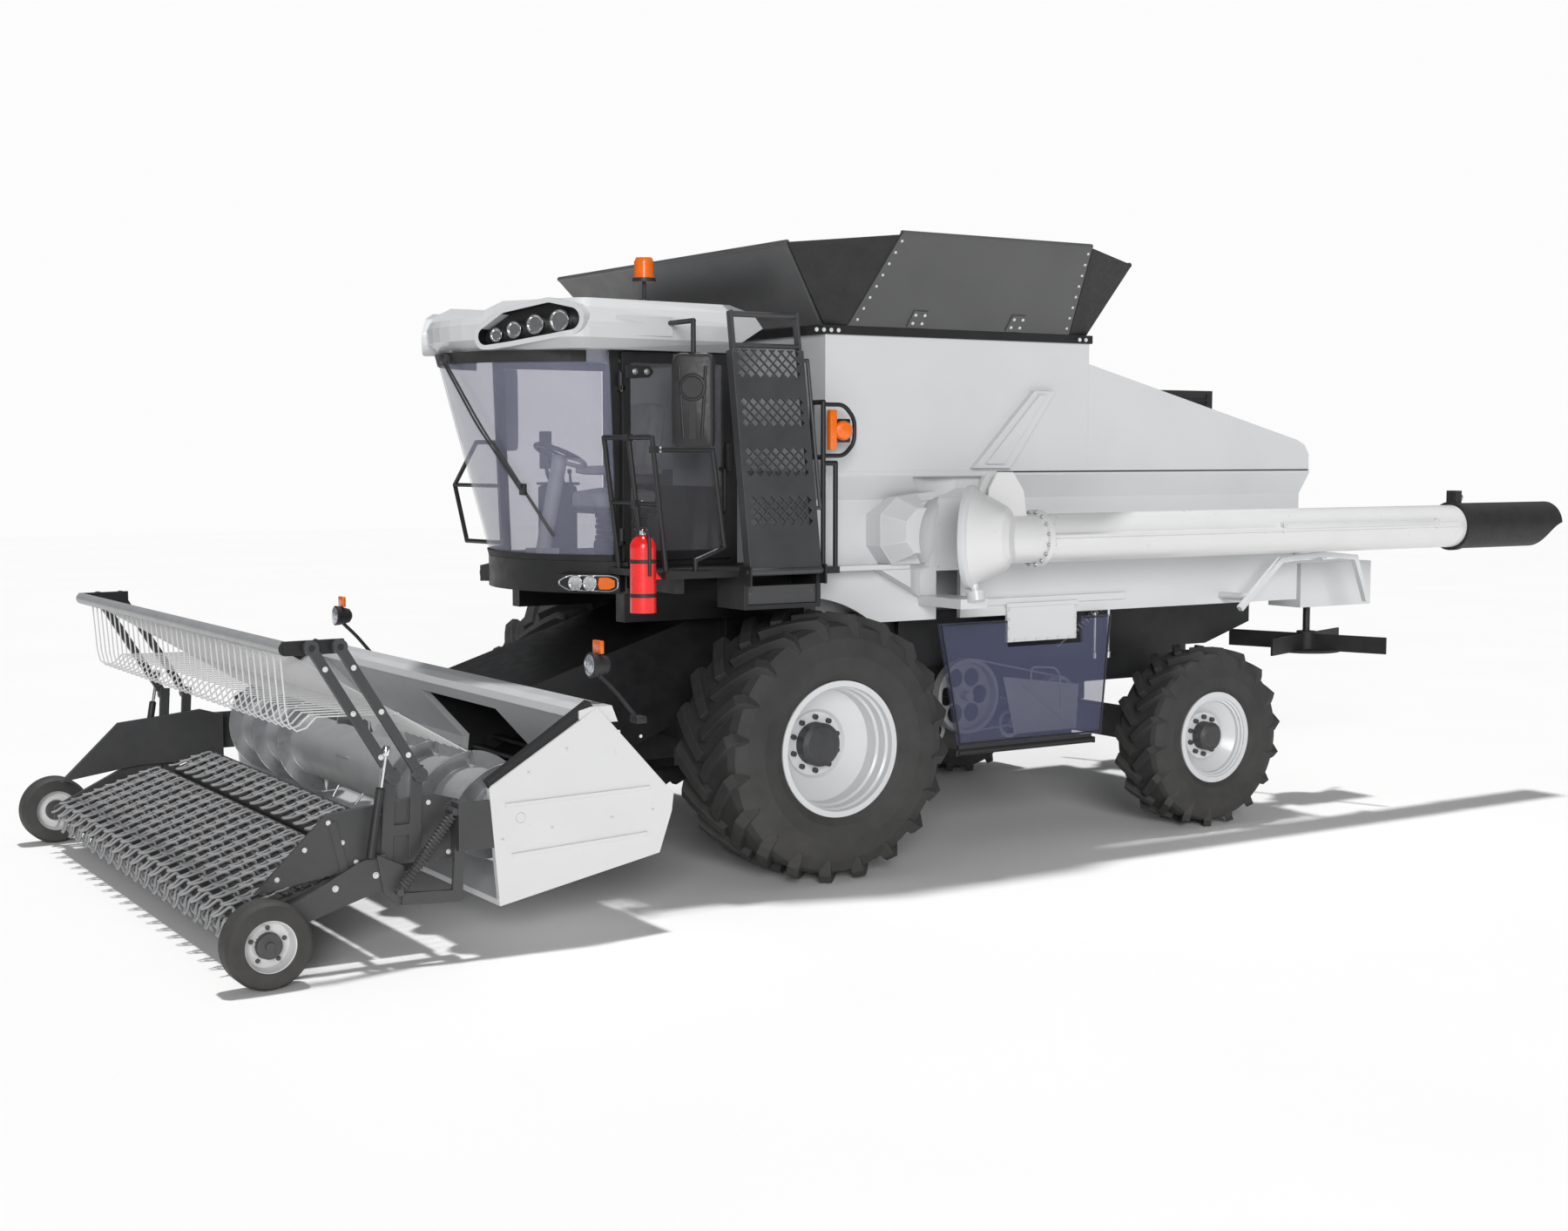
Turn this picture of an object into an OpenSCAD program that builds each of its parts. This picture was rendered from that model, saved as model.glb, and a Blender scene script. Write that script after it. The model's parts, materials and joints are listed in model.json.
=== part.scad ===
// Combine harvester with a windrow pickup header.
// Millimetres. X forward, Y to the machine's left, Z up, ground at zero.

/* [Wheels] */
// Front tyre diameter over the lugs
front_tyre_d = 1830; // [1600:10:2000]
// Front tyre width
front_tyre_w = 780; // [600:10:860]
// Front rim flange diameter
front_rim_d = 930; // [820:5:1000]
// Distance between the front tyre centre planes
front_track = 3160; // [3000:10:3400]
// Rear tyre diameter over the lugs
rear_tyre_d = 1400; // [1200:10:1500]
// Rear tyre width
rear_tyre_w = 470; // [380:10:520]
// Rear rim flange diameter
rear_rim_d = 708; // [600:4:780]
// Distance between the rear tyre centre planes
rear_track = 3160; // [3000:10:3300]
// Distance from the front to the rear axle
wheelbase = 3630; // [3500:10:3750]
// Gauge wheel diameter
gauge_d = 490; // [420:10:520]
// Gauge wheel width
gauge_w = 190; // [150:5:220]
// Gauge wheel distance ahead of the front axle
gauge_x = 4150; // [4100:10:4200]
// Lug height
lug_h = 56; // [30:1:66]

/* [Body] */
// Half width over the tank and hood sheets
body_half_w = 1550; // [1480:10:1600]
// Sheet wall thickness
wall = 40; // [30:1:50]
// Height of the lower edge of the side panels
panel_low_z = 1710; // [1680:5:1740]
// Height of the seam under the tank
seam_z = 2780; // [2700:10:2820]
// Height of the tank's upper rail
rail_z = 3720; // [3650:10:3760]
// Height of the dark rail section
rail_h = 60; // [40:5:70]
// Tank front wall behind the front axle
tank_front = 120; // [100:5:160]
// Tank rear wall behind the front axle
tank_rear = 2490; // [2400:10:2550]
// Hood rear wall behind the front axle
hood_rear = 4860; // [4700:10:4950]
// Hood height where the slope starts
hood_front_z = 3570; // [3480:10:3640]
// Hood height at its rear edge
hood_rear_z = 2985; // [2900:5:3050]
// Height of the tops of the tank's side flaps
flap_z = 4385; // [4250:5:4450]
// Lean of the tank's side flaps outwards, at the top
flap_out = 400; // [300:10:480]

/* [Cab] */
// Half width of the cab
cab_half_w = 960; // [900:10:1000]
// Cab rear wall ahead of the front axle
cab_rear = 230; // [200:5:270]
// Cab floor height
cab_floor_z = 2170; // [2130:5:2200]
// Underside of the cab roof
cab_roof_z = 3600; // [3550:5:3640]
// Roof thickness
roof_h = 320; // [260:10:360]
// Door front edge ahead of the front axle
door_front = 1150; // [1120:5:1180]
// Door rear edge ahead of the front axle
door_rear = 300; // [290:5:320]

/* [Unloading auger] */
// Tube diameter
tube_d = 350; // [300:5:380]
// Tube axis out from the tank side
tube_out = 350; // [320:5:390]
// Tube axis height
tube_z = 2300; // [2270:5:2330]
// Pivot behind the front axle
swing_x = 1118; // [1090:2:1140]
// Dish diameter
dish_d = 735; // [680:5:760]
// Spout end behind the front axle
spout_reach = 7400; // [7200:10:7600]
// Rubber spout length
spout_len = 1170; // [900:10:1300]

/* [Header] */
// Half width over the end plates
header_half_w = 2415; // [2380:5:2440]
// Header auger flight diameter
flight_d = 620; // [560:10:640]
// Header auger drum diameter
drum_d = 420; // [360:10:460]
// Half width of the feeder house
feeder_half_w = 700; // [620:10:760]
// Windguard tube diameter
guard_tube_d = 80; // [60:2:100]
// Number of windguard wires across
wire_n = 36; // [20:1:44]
// Windguard wire diameter
wire_d = 8; // [6:1:16]

/* [Fits] */
// Running gap between moving pieces
gap = 8; // [6:0.5:12]
// Radial play at pins
pin_play = 1; // [0.5:0.1:2]
// Play between flat faces that slide or bolt together
face_play = 0.2; // [0.1:0.1:0.5]

/* [Part] */
// Piece to draw

/* [Hidden] */
$fn = 64;
front_axle_x = (spout_reach - gauge_x - gauge_d/2)/2;
front_r = front_tyre_d/2;
rear_r = rear_tyre_d/2;
gauge_r = gauge_d/2;
pick_y = header_half_w - 175;
belt_half_w = pick_y - 120;
gauge_y = header_half_w + 50;
guard_y = pick_y + 90;
flap_y = body_half_w + flap_out;
tube_y = body_half_w + tube_out;
kingpin_y = rear_track/2 - 450;
rear_x = -wheelbase;
tuck = 110;
frame_y = 870;
frame_w = 100;
frame_z = 1100;
frame_h = 240;
sep_top = 1750;
pivot_x = 150;
pivot_z = 1640;
auger_x = 2600;
auger_z = 780;
guard_x = 3950;
guard_z = 1833;
bar_dx = 465;
bar_dz = 760;
bar_front_x = 3355;
bar_rear_x = 3190;
bar_z = 1075;
ladder_y = 1880;
ladder_z = 2130;
ladder_x0 = 130;
ladder_x1 = 690;
deck_top = 2140;
deck_x0 = -200;
deck_x1 = 1250;
deck_y1 = 1760;
shield_z = 730;
shield_y = body_half_w - 70;
sep_half_w = body_half_w - 350;
spreader_x = -5350;
spreader_y = 1100;

module at_axle() {
  translate([front_axle_x, 0, 0]) children();
}

module box(a, b) {
  translate(a) cube(b - a);
}

// Round bar between two points.
module rod(a, b, d) {
  v = b - a;
  translate(a)
    rotate([0, acos(v[2]/norm(v)), atan2(v[1], v[0])])
      cylinder(d = d, h = norm(v));
}

// Chain of round bars with ball corners.
module tube_path(p, d) {
  for (i = [0 : len(p) - 2]) {
    rod(p[i], p[i + 1], d);
  }
  for (i = [1 : len(p) - 2]) {
    translate(p[i]) sphere(d = 1.05*d);
  }
}

// Plate with a side outline given as X and Z, from one Y to another.
module side_plate(points, y0, y1) {
  translate([0, y1, 0])
    rotate([90, 0, 0])
      linear_extrude(y1 - y0) polygon(points);
}

// Left-hand normal of a leg, mitred normal at a corner, and a strip of even width along a path.
function leg(a, b) = [a[1] - b[1], b[0] - a[0]]/norm(b - a);
function turn(m, n) = 2*(m + n)/((m + n)*(m + n));
function normal(p, i) = i == 0 ? leg(p[0], p[1]) : i == len(p) - 1 ? leg(p[i - 1], p[i])
  : turn(leg(p[i - 1], p[i]), leg(p[i], p[i + 1]));
function band(p, w) = concat([for (i = [0 : len(p) - 1]) p[i] + normal(p, i)*w/2],
  [for (i = [len(p) - 1 : -1 : 0]) p[i] - normal(p, i)*w/2]);

module mirror_y() {
  children();
  mirror([0, 1, 0]) children();
}

// Turns a profile of radius and offset about the Y axis.
module turned_y() {
  rotate([-90, 0, 0]) rotate_extrude() children();
}

/* Tyre shell: bead radius b, outer radius r, width w, rim width s. */
module tyre(b, r, w, s) {
  h = r - b;
  t = 0.1*h + 20;
  turned_y()
    polygon([[b, 14 - s/2], [b + 26, 14 - s/2], [b + 0.2*h, -0.47*w], [b + 0.45*h, -w/2],
      [b + 0.75*h, -0.48*w],
      [r - 0.06*h, -0.44*w], [r, -0.36*w], [r, 0.36*w], [r - 0.06*h, 0.44*w], [b + 0.75*h, 0.48*w],
      [b + 0.45*h, w/2], [b + 0.2*h, 0.47*w], [b + 26, s/2 - 14], [b, s/2 - 14], [b, s/2 - 44],
      [b + 0.45*h, w/2 - t], [r - 0.28*h, 0.40*w], [r - 0.28*h, -0.40*w], [b + 0.45*h, t - w/2],
      [b, 44 - s/2]]);
}

/* Dished rim: flange radius f, width s, hub radius c, dish offset o. Outside is +Y. */
module rim(f, s, c, o, bolts) {
  b = f - 24;
  a = hub_shaft/2 + pin_play;
  d = s/2 - o - 80;
  turned_y()
    polygon([[b - 16, -s/2], [f, -s/2], [f, 14 - s/2], [b, 14 - s/2], [b, s/2 - 14], [f, s/2 - 14],
      [f, s/2],
      [b - 16, s/2], [b - 16, s/2 - 0.2*d], [b - 32, s/2 - 0.25*d], [b - 32, s/2 - 0.55*d],
      [b - 48, s/2 - 0.6*d],
      [b - 52, o + 80], [c + 90, o + 20], [c + 70, o], [c, o], [c, o + 90], [c - 30, o + 110],
      [0, o + 110], [0, o + 60], [a, o + 60], [a, o - 26], [c + 80, o - 26], [c + 110, o - 8],
      [b - 34, o + 34], [b - 16, o + 20]]);
  for (i = [0 : bolts - 1]) {
    rotate([0, (i + 0.5)*360/bolts, 0])
      translate([c + 36, o - 6, 0])
        rotate([-90, 0, 0]) cylinder(d = 36, h = 32);
  }
}

module at_front(side) {
  at_axle() translate([0, side*front_track/2, front_r]) mirror([0, side < 0 ? 1 : 0, 0]) children();
}

module at_rear(side) {
  at_axle() translate([rear_x, side*rear_track/2, rear_r]) mirror([0, side < 0 ? 1 : 0, 0]) children();
}

/* Slanted lug: its top follows the tyre's round and its outer end drops down the shoulder. */
module lug(r, w, t) {
  l = w/2/cos(lug_lean);
  run = l*sin(lug_lean);
  end = l - t/2*tan(lug_lean);
  function top(s) = sqrt(r*r - pow(abs(s - 0.5)*run + t/2*cos(lug_lean), 2));
  translate([run/2, 0, 0])
    rotate([0, 0, 90 + lug_lean])
      rotate([90, 0, 0])
        linear_extrude(t, center = true)
          polygon([[0, r - 2*lug_h], [0, top(0)], [0.3*l, top(0.3)], [0.6*l, top(0.6)],
            [0.84*l, top(0.84)],
            [end, top(1) - 0.8*lug_h], [end, r - 3*lug_h], [0.72*l, r - 2*lug_h]]);
}

/* Two staggered rows of lugs, the chevron's point leading. */
module lugs(r, w, t, n) {
  for (i = [0 : n - 1]) {
    rotate([0, i*360/n, 0]) lug(r, w, t);
    rotate([0, (i + 0.5)*360/n, 0]) mirror([0, 1, 0]) lug(r, w, t);
  }
}
lug_lean = 40;

module front_tyre() {
  tyre(front_rim_d/2 - 24, front_r - lug_h, front_tyre_w, front_rim_w);
  lugs(front_r, front_tyre_w, 82, 20);
}
front_rim_w = front_tyre_w - 90;
rear_rim_w = rear_tyre_w - 70;
hub_shaft = 90;
front_dish = 20;
rear_dish = 60;
front_hub_r = 150;
rear_hub_r = 110;

module front_rim() {
  rim(front_rim_d/2, front_rim_w, front_hub_r, front_dish, 10);
}

module rear_tyre() {
  tyre(rear_rim_d/2 - 24, rear_r - rear_lug_h, rear_tyre_w, rear_rim_w);
  lugs(rear_r, rear_tyre_w, 58, 18);
}
rear_lug_h = 0.8*lug_h;

module rear_rim() {
  rim(rear_rim_d/2, rear_rim_w, rear_hub_r, rear_dish, 10);
}

module front_tyre_left() { color([0.09, 0.09, 0.1]) at_front(1) front_tyre(); }
module front_tyre_right() { color([0.09, 0.09, 0.1]) at_front(-1) front_tyre(); }
module front_rim_left() { color([0.8, 0.81, 0.82]) at_front(1) front_rim(); }
module front_rim_right() { color([0.8, 0.81, 0.82]) at_front(-1) front_rim(); }
module rear_tyre_left() { color([0.09, 0.09, 0.1]) at_rear(1) rear_tyre(); }
module rear_tyre_right() { color([0.09, 0.09, 0.1]) at_rear(-1) rear_tyre(); }
module rear_rim_left() { color([0.8, 0.81, 0.82]) at_rear(1) rear_rim(); }
module rear_rim_right() { color([0.8, 0.81, 0.82]) at_rear(-1) rear_rim(); }

/* Gauge wheel with its hub bored for the stub axle. */
module gauge_wheel(side) {
  color([0.14, 0.14, 0.15])
    at_axle() translate([gauge_x, side*gauge_y, gauge_r]) mirror([0, side < 0 ? 1 : 0, 0])
      turned_y()
        polygon([[gauge_stub_r + pin_play, -gauge_w/2 + 20], [70, -gauge_w/2 + 20], [80, -20], [130, -20],
          [140, -gauge_w/2 + 10], [150, -gauge_w/2], [gauge_r - 20, -gauge_w/2 + 6],
          [gauge_r, -0.3*gauge_w],
          [gauge_r, 0.3*gauge_w], [gauge_r - 20, gauge_w/2 - 6], [150, gauge_w/2], [140, gauge_w/2 - 10],
          [130, 0],
          [80, 0], [70, gauge_w/2 - 20], [gauge_stub_r + pin_play, gauge_w/2 - 20]]);
}
gauge_stub_r = 24;

module gauge_wheel_left() { gauge_wheel(1); }
module gauge_wheel_right() { gauge_wheel(-1); }

/* Frame, axles and housings */

module main_frame() {
  color([0.16, 0.17, 0.18]) at_axle() difference() {
    union() {
      mirror_y() {
        box([rear_x - 450, frame_y, frame_z], [450, frame_y + frame_w, frame_z + frame_h]);
        box([-160, frame_y, front_r + axle_half], [160, frame_y + frame_w, frame_z]);
      }
      box([rear_x - 450, -frame_y, frame_z], [rear_x - 330, frame_y, frame_z + 60]);
      box([rear_x - 140, -frame_y, frame_z], [rear_x + 140, frame_y, frame_z + 60]);
      box([rear_x - 130, -90, rear_r + 120], [rear_x + 130, 90, frame_z]);
      box([rear_x - 700, -60, frame_z], [rear_x - 450, 60, frame_z + 50]);
      translate([rear_x - 700, 0, frame_z]) cylinder(d = 120, h = 50);
    }
    translate([rear_x - 700, 0, frame_z - 10]) cylinder(d = hitch_d, h = 80);
  }
}
hitch_d = 32;
axle_half = 150;

module separator() {
  color([0.13, 0.14, 0.15]) at_axle() {
    side_plate([[-450, 700], [-700, 640], [-2950, 640], [-2950, frame_z + frame_h + 10],
      [-450, frame_z + frame_h + 10]],
      -frame_y, frame_y);
    box([-2950, -sep_half_w, frame_z + frame_h], [-1000, sep_half_w, sep_top]);
    box([-1010, 60 - sep_half_w, frame_z + frame_h], [-60, sep_half_w - 60, sep_top]);
    mirror_y() side_plate([[-60, 1480], [pivot_x + 60, 1540], [pivot_x + 60, 1740], [-60, sep_top]],
      feeder_half_w + gap, feeder_half_w + gap + 60);
    mirror_y() rod([pivot_x, feeder_half_w - 40, pivot_z], [pivot_x, feeder_half_w + gap, pivot_z], 90);
    for (x = [hinge_x0 - gap - 20, shield_x1 + gap]) {
      box([x, frame_y - 10, shield_z - 25], [x + 20, shield_y + 35, shield_z + 20]);
    }
    rod([hinge_x0 - gap - 10, shield_y + 15, shield_z], [hinge_x0 + 40, shield_y + 15, shield_z],
      shield_pin);
    rod([shield_x1 - 40, shield_y + 15, shield_z], [shield_x1 + gap + 10, shield_y + 15, shield_z],
      shield_pin);
  }
}
shield_x0 = -2692;
shield_x1 = -1324;
hinge_x0 = shield_x0 + 92;
shield_pin = 24;

module straw_hood() {
  color([0.12, 0.12, 0.13]) at_axle() difference() {
    side_plate([[-2950, frame_z + frame_h], [-4300, frame_z + frame_h], [-4800, 1500], [-4800, sep_top],
      [-2950, sep_top]],
      -frame_y - frame_w, frame_y + frame_w);
    side_plate([[-2990, frame_z], [-4350, frame_z], [-5000, 1440], [-5000, sep_top - 40],
      [-2990, sep_top - 40]],
      -frame_y - frame_w + wall, frame_y + frame_w - wall);
  }
}

module front_axle() {
  color([0.15, 0.16, 0.17]) at_axle() {
    box([-axle_half, -1000, front_r - axle_half], [axle_half, 1000, front_r + axle_half]);
    mirror_y() rod([0, 990, front_r], [0, front_track/2 + front_dish - 26 - gap, front_r], 420);
    mirror_y() rod([0, 990, front_r], [0, front_track/2 + front_dish + 50, front_r], hub_shaft);
    mirror_y() box([-axle_half, 400, 560], [430, lift_y - 60, front_r - axle_half + 10]);
    mirror_y() rod([lift_base_x, lift_y - 70, lift_base_z],
      [lift_base_x, lift_y + 60, lift_base_z], lift_pin);
  }
}

module rear_axle() {
  color([0.15, 0.16, 0.17]) at_axle() {
    box([rear_x - 90, -kingpin_y + 130, rear_r - 120], [rear_x + 90, kingpin_y - 130, rear_r + 120]);
    mirror_y() {
      box([rear_x - 80, kingpin_y - 150, rear_r + 110], [rear_x + 80, kingpin_y + 70, rear_r + 180]);
      box([rear_x - 80, kingpin_y - 150, rear_r - 180], [rear_x + 80, kingpin_y + 70, rear_r - 110]);
      translate([rear_x, kingpin_y, rear_r - 170]) cylinder(d = kingpin_d, h = 340);
    }
  }
}

/* Steering knuckle on its kingpin, with the wheel spindle and the steering arm. */
module knuckle(side) {
  color([0.17, 0.18, 0.19]) at_axle() translate([rear_x, side*kingpin_y, rear_r])
    mirror([0, side < 0 ? 1 : 0, 0]) {
    difference() {
      union() {
        translate([0, 0, -110 + gap]) cylinder(d = 110, h = 220 - 2*gap);
        rod([0, 0, 0], [0, rear_track/2 + rear_dish - 26 - gap - kingpin_y, 0], 150);
        rod([0, rear_track/2 + rear_dish - 60 - gap - kingpin_y, 0],
          [0, rear_track/2 + rear_dish - 26 - gap - kingpin_y, 0], 300);
        rod([0, 100, 0], [0, rear_track/2 + rear_dish + 50 - kingpin_y, 0], hub_shaft);
        box([-arm_len, -40, -90], [0, 40, -50]);
        translate([-arm_len, 0, -90]) cylinder(d = 90, h = 40);
      }
      translate([0, 0, -150]) cylinder(d = kingpin_d + 2*pin_play, h = 300);
    }
  }
}
arm_len = 240;
kingpin_d = 60;

module knuckle_left() { knuckle(1); }
module knuckle_right() { knuckle(-1); }

module tie_rod() {
  color([0.2, 0.2, 0.21]) at_axle() {
    rod([rear_x - arm_len, -kingpin_y, rear_r - 125], [rear_x - arm_len, kingpin_y, rear_r - 125], 45);
    mirror_y() translate([rear_x - arm_len, kingpin_y, rear_r - 150])
      cylinder(d = 80, h = 60 - face_play);
  }
}

module engine() {
  color([0.2, 0.21, 0.22]) at_axle() {
    box([-4000, -480, sep_top + 120], [-2750, 480, 2760]);
    mirror_y() box([-3900, 300, sep_top], [-3700, 420, sep_top + 120]);
    mirror_y() box([-3050, 300, sep_top], [-2850, 420, sep_top + 120]);
  }
}

module pulley(x, z, d, y0, y1, spokes = 0) {
  at_axle() translate([x, 0, z]) {
    translate([0, y0, 0]) rotate([-90, 0, 0]) difference() {
      cylinder(d = d, h = y1 - y0);
      translate([0, 0, 12]) cylinder(d = d - 60, h = y1 - y0);
      for (i = [1 : spokes]) {
        rotate(i*360/spokes) translate([d/4 + 12, 0, -1]) cylinder(d = d/4, h = 20);
      }
    }
    rod([0, z > frame_z - 40 ? frame_y + frame_w : frame_y, 0], [0, y1 + 12, 0], 70);
  }
}

module drive_pulleys() {
  color([0.25, 0.26, 0.27]) {
    pulley(-1560, 1110, 560, sep_half_w + 40, sep_half_w + 120, 6);
    pulley(-2420, 1050, 330, sep_half_w + 40, sep_half_w + 120, 5);
    pulley(-2050, 860, 220, sep_half_w - 70, sep_half_w);
    pulley(-1330, 860, 200, sep_half_w - 70, sep_half_w);
    at_axle() side_plate([[-1640, 1384], [-2400, 1218], [-2400, 1206], [-1640, 1372]],
      sep_half_w + 50, sep_half_w + 100);
    at_axle() side_plate([[-1540, 832], [-2380, 884], [-2380, 896], [-1540, 844]],
      sep_half_w + 50, sep_half_w + 100);
  }
}

/* Tank, flaps and hood */

module grain_tank() {
  color([0.82, 0.83, 0.84]) at_axle() difference() {
    union() {
      box([-tank_rear, -body_half_w, seam_z], [-tank_front, body_half_w, rail_z]);
      box([-2230, 510 - body_half_w, sep_top], [-380, body_half_w - 510, seam_z]);
    }
    box([-tank_rear + wall, -body_half_w + wall, seam_z + 300],
      [-tank_front - wall, body_half_w - wall, rail_z + 10]);
    side_plate([[-tank_rear + wall, seam_z + 301], [-tank_front - wall, seam_z + 301], [-900, 2300],
      [-1700, 2300]],
      550 - body_half_w, body_half_w - 550);
  }
}

module tank_rail() {
  color([0.12, 0.12, 0.13]) at_axle() difference() {
    box([-tank_rear - 20, -body_half_w - 15, rail_z], [-tank_front + 20, body_half_w + 15,
      rail_z + rail_h]);
    box([-tank_rear + wall, -body_half_w + wall, rail_z - 10],
      [-tank_front - wall, body_half_w - wall, rail_z + rail_h + 10]);
  }
}

rail_top = rail_z + rail_h;
flap_t = 30;
flap_half = body_half_w - 50;

module side_flap() {
  rise = flap_z - rail_top;
  out = flap_y - body_half_w;
  translate([0, body_half_w, rail_top + flap_t/2*sin(atan2(out, rise))])
    rotate([90 - atan2(out, rise), 0, 0])
      translate([0, 0, -flap_t/2]) linear_extrude(flap_t)
        polygon([[-300, 0], [-470, norm([rise, out])], [-2150, norm([rise, out])], [-2280, 0]]);
}

module front_flap(x, reach, h) {
  translate([x, 0, rail_top + flap_t/2*abs(sin(atan2(reach, h)))])
    rotate([90, 0, 90])
      rotate([-atan2(reach, h), 0, 0])
        translate([0, 0, -flap_t/2]) linear_extrude(flap_t)
          polygon([[-flap_half, 0], [flap_half, 0], [flap_half + 200, norm([reach, h])],
            [-flap_half - 200, norm([reach, h])]]);
}

module tank_flaps() {
  color([0.3, 0.31, 0.32]) at_axle() {
    mirror_y() side_flap();
    front_flap(-tank_front, 430, 545);
    front_flap(-tank_rear, -280, 550);
  }
}

module flap_corners() {
  color([0.1, 0.1, 0.1]) at_axle() mirror_y() {
    hull() {
      box([-290, body_half_w - 20, rail_top], [-280, body_half_w + 4, rail_top + 8]);
      box([-456, flap_y - 30, flap_z - 20], [-448, flap_y - 8, flap_z - 12]);
      box([-tank_front - 24, flap_half + 8, rail_top], [-tank_front - 12, flap_half + 24, rail_top + 8]);
      box([280, flap_half + 204, 4296], [288, flap_half + 216, 4304]);
    }
    hull() {
      box([-2304, body_half_w - 20, rail_top], [-2294, body_half_w + 4, rail_top + 8]);
      box([-2174, flap_y - 30, flap_z - 20], [-2166, flap_y - 8, flap_z - 12]);
      box([-tank_rear + 12, flap_half + 8, rail_top], [-tank_rear + 24, flap_half + 24, rail_top + 8]);
      box([-2748, flap_half + 204, 4296], [-2740, flap_half + 216, 4304]);
    }
  }
}

/* Side panel section below the seam: tucks in, then drops straight. */
module panel_section(x0, x1, z0) {
  translate([x0, 0, 0]) rotate([90, 0, 90]) linear_extrude(x1 - x0)
    polygon([[body_half_w, seam_z], [body_half_w, seam_z - 30], [body_half_w - tuck, seam_z - 200],
      [body_half_w - tuck, z0], [body_half_w - tuck - wall, z0], [body_half_w - tuck - wall, seam_z]]);
}

module panel_left() {
  low_y = body_half_w - tuck;
  color([0.8, 0.81, 0.82]) at_axle() {
    difference() {
      union() {
        panel_section(-hood_rear, -tank_front, panel_low_z);
        side_plate([[-180, 2095], [-580, 2090], [-985, 1880],
          [-985, 2110]], low_y - 20, body_half_w + 20);
        box([-1090, low_y - 20, 2095], [-180, body_half_w + 40, 2128]);
        box([-2970, low_y - 20, 1790], [-1560, low_y + 20, 1840]);
      }
      translate([-swing_x, tube_y - 50, 1500]) cylinder(r = dish_d/2 + 30, h = 1240);
      rod([0, 1300, front_r], [0, 1700, front_r], front_tyre_d + 160);
      box([-1500, body_half_w - 60, 1900], [-swing_x, body_half_w + 60, 2740]);
      box([-1380, low_y - 60, panel_low_z - 10], [-1160, low_y + 60, 2420]);
    }
    side_plate([[-2470, 1510], [-1800, 1510], [-1800, 1800], [-2470, 1800]], low_y, low_y + 26);
    box([-2480, low_y, 1770], [-1790, low_y + 36, 1800]);
    side_plate([[-1370, 2800], [-1710, 2800], [-2130, 3360],
      [-1930, 3360]], body_half_w, body_half_w + 50);
    side_plate([[-1470, 2830], [-1640, 2830], [-2030, 3330],
      [-1960, 3330]], body_half_w + 50, body_half_w + 70);
  }
}

module panel_right() {
  low_y = body_half_w - tuck;
  color([0.8, 0.81, 0.82]) at_axle() mirror([0, 1, 0]) difference() {
    union() {
      panel_section(-hood_rear, -tank_front, panel_low_z);
      box([-2970, low_y - 20, 1790], [-1560, low_y + 20, 1840]);
    }
    rod([0, 1300, front_r], [0, 1700, front_r], front_tyre_d + 160);
  }
}

module engine_hood() {
  color([0.82, 0.83, 0.84]) at_axle() difference() {
    side_plate([[-tank_rear, seam_z], [-tank_rear, hood_front_z], [-hood_rear + 150, hood_rear_z + 30],
      [-hood_rear + 60, hood_rear_z - 10], [-hood_rear + 10, hood_rear_z - 90], [-hood_rear, panel_low_z],
      [-hood_rear + wall, panel_low_z], [-hood_rear + wall, seam_z]], -body_half_w, body_half_w);
    side_plate([[-tank_rear + 10, seam_z - 100], [-tank_rear + 10, hood_front_z - wall],
      [-hood_rear + 170, hood_rear_z - 10],
      [-hood_rear + wall + 10, hood_rear_z - 120], [-hood_rear + wall, seam_z - 100]],
      -body_half_w + wall, body_half_w - wall);
    mirror_y() box([-hood_rear - 10, body_half_w - tuck - wall, panel_low_z - 10],
      [-hood_rear + wall + 10, body_half_w + 10, seam_z]);
  }
}

module air_intake() {
  color([0.08, 0.08, 0.09]) at_axle() difference() {
    box([-4680, 0, 2980], [-3990, 620, 3430]);
    side_plate([[-3900, 3570 - 376 + 1], [-3900, 2900], [-4800, 2900], [-4800, hood_top(-4800) + 1],
      [-3900, hood_top(-3900) + 1]], -10, 700);
  }
}
function hood_top(x) = hood_front_z + (x + tank_rear)*(hood_front_z - hood_rear_z - 30)/(hood_rear - 150
  - tank_rear);

module auger_boot() {
  color([0.7, 0.71, 0.72]) at_axle() difference() {
    union() {
      side_plate([[-540, 2260], [-640, 2130], [-1000, 2130], [-1110, 2240], [-1110, 2480], [-1000, 2575],
        [-700, 2575],
        [-540, 2480]], body_half_w - tuck, body_half_w - 40);
      side_plate([[-540, 2260], [-640, 2130], [-1000, 2130], [-1110, 2240], [-1110, 2520], [-1000, 2640],
        [-680, 2600],
        [-540, 2480]], body_half_w - 50, body_half_w + 70);
      side_plate([[-600, 2280], [-680, 2180], [-960, 2180], [-1060, 2270], [-1060, 2480], [-970, 2580],
        [-710, 2550],
        [-600, 2450]], body_half_w + 60, body_half_w + 130);
      side_plate([[-640, 2300], [-710, 2215], [-1110, 2215], [-1110, 2520], [-960, 2545], [-730, 2520],
        [-640, 2430]],
        body_half_w + 120, body_half_w + 240);
      box([-swing_x - 120, body_half_w - tuck, tube_z - 480],
        [-swing_x + 120, tube_y + 40, tube_z - 410]);
      at_swing() translate([0, 0, -460]) cylinder(d = 130, h = 70);
    }
    at_swing() sphere(r = dish_d/2 + gap);
    at_swing() translate([0, 0, -500]) cylinder(d = swing_pin + 2*pin_play, h = 200);
  }
}
swing_pin = 60;
swing_tilt = 14.74;

// Places its children on the unloading auger's tilted pivot.
module at_swing() {
  translate([-swing_x, tube_y - 50, tube_z + 17]) rotate([swing_tilt, 0, 0]) children();
}

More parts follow.
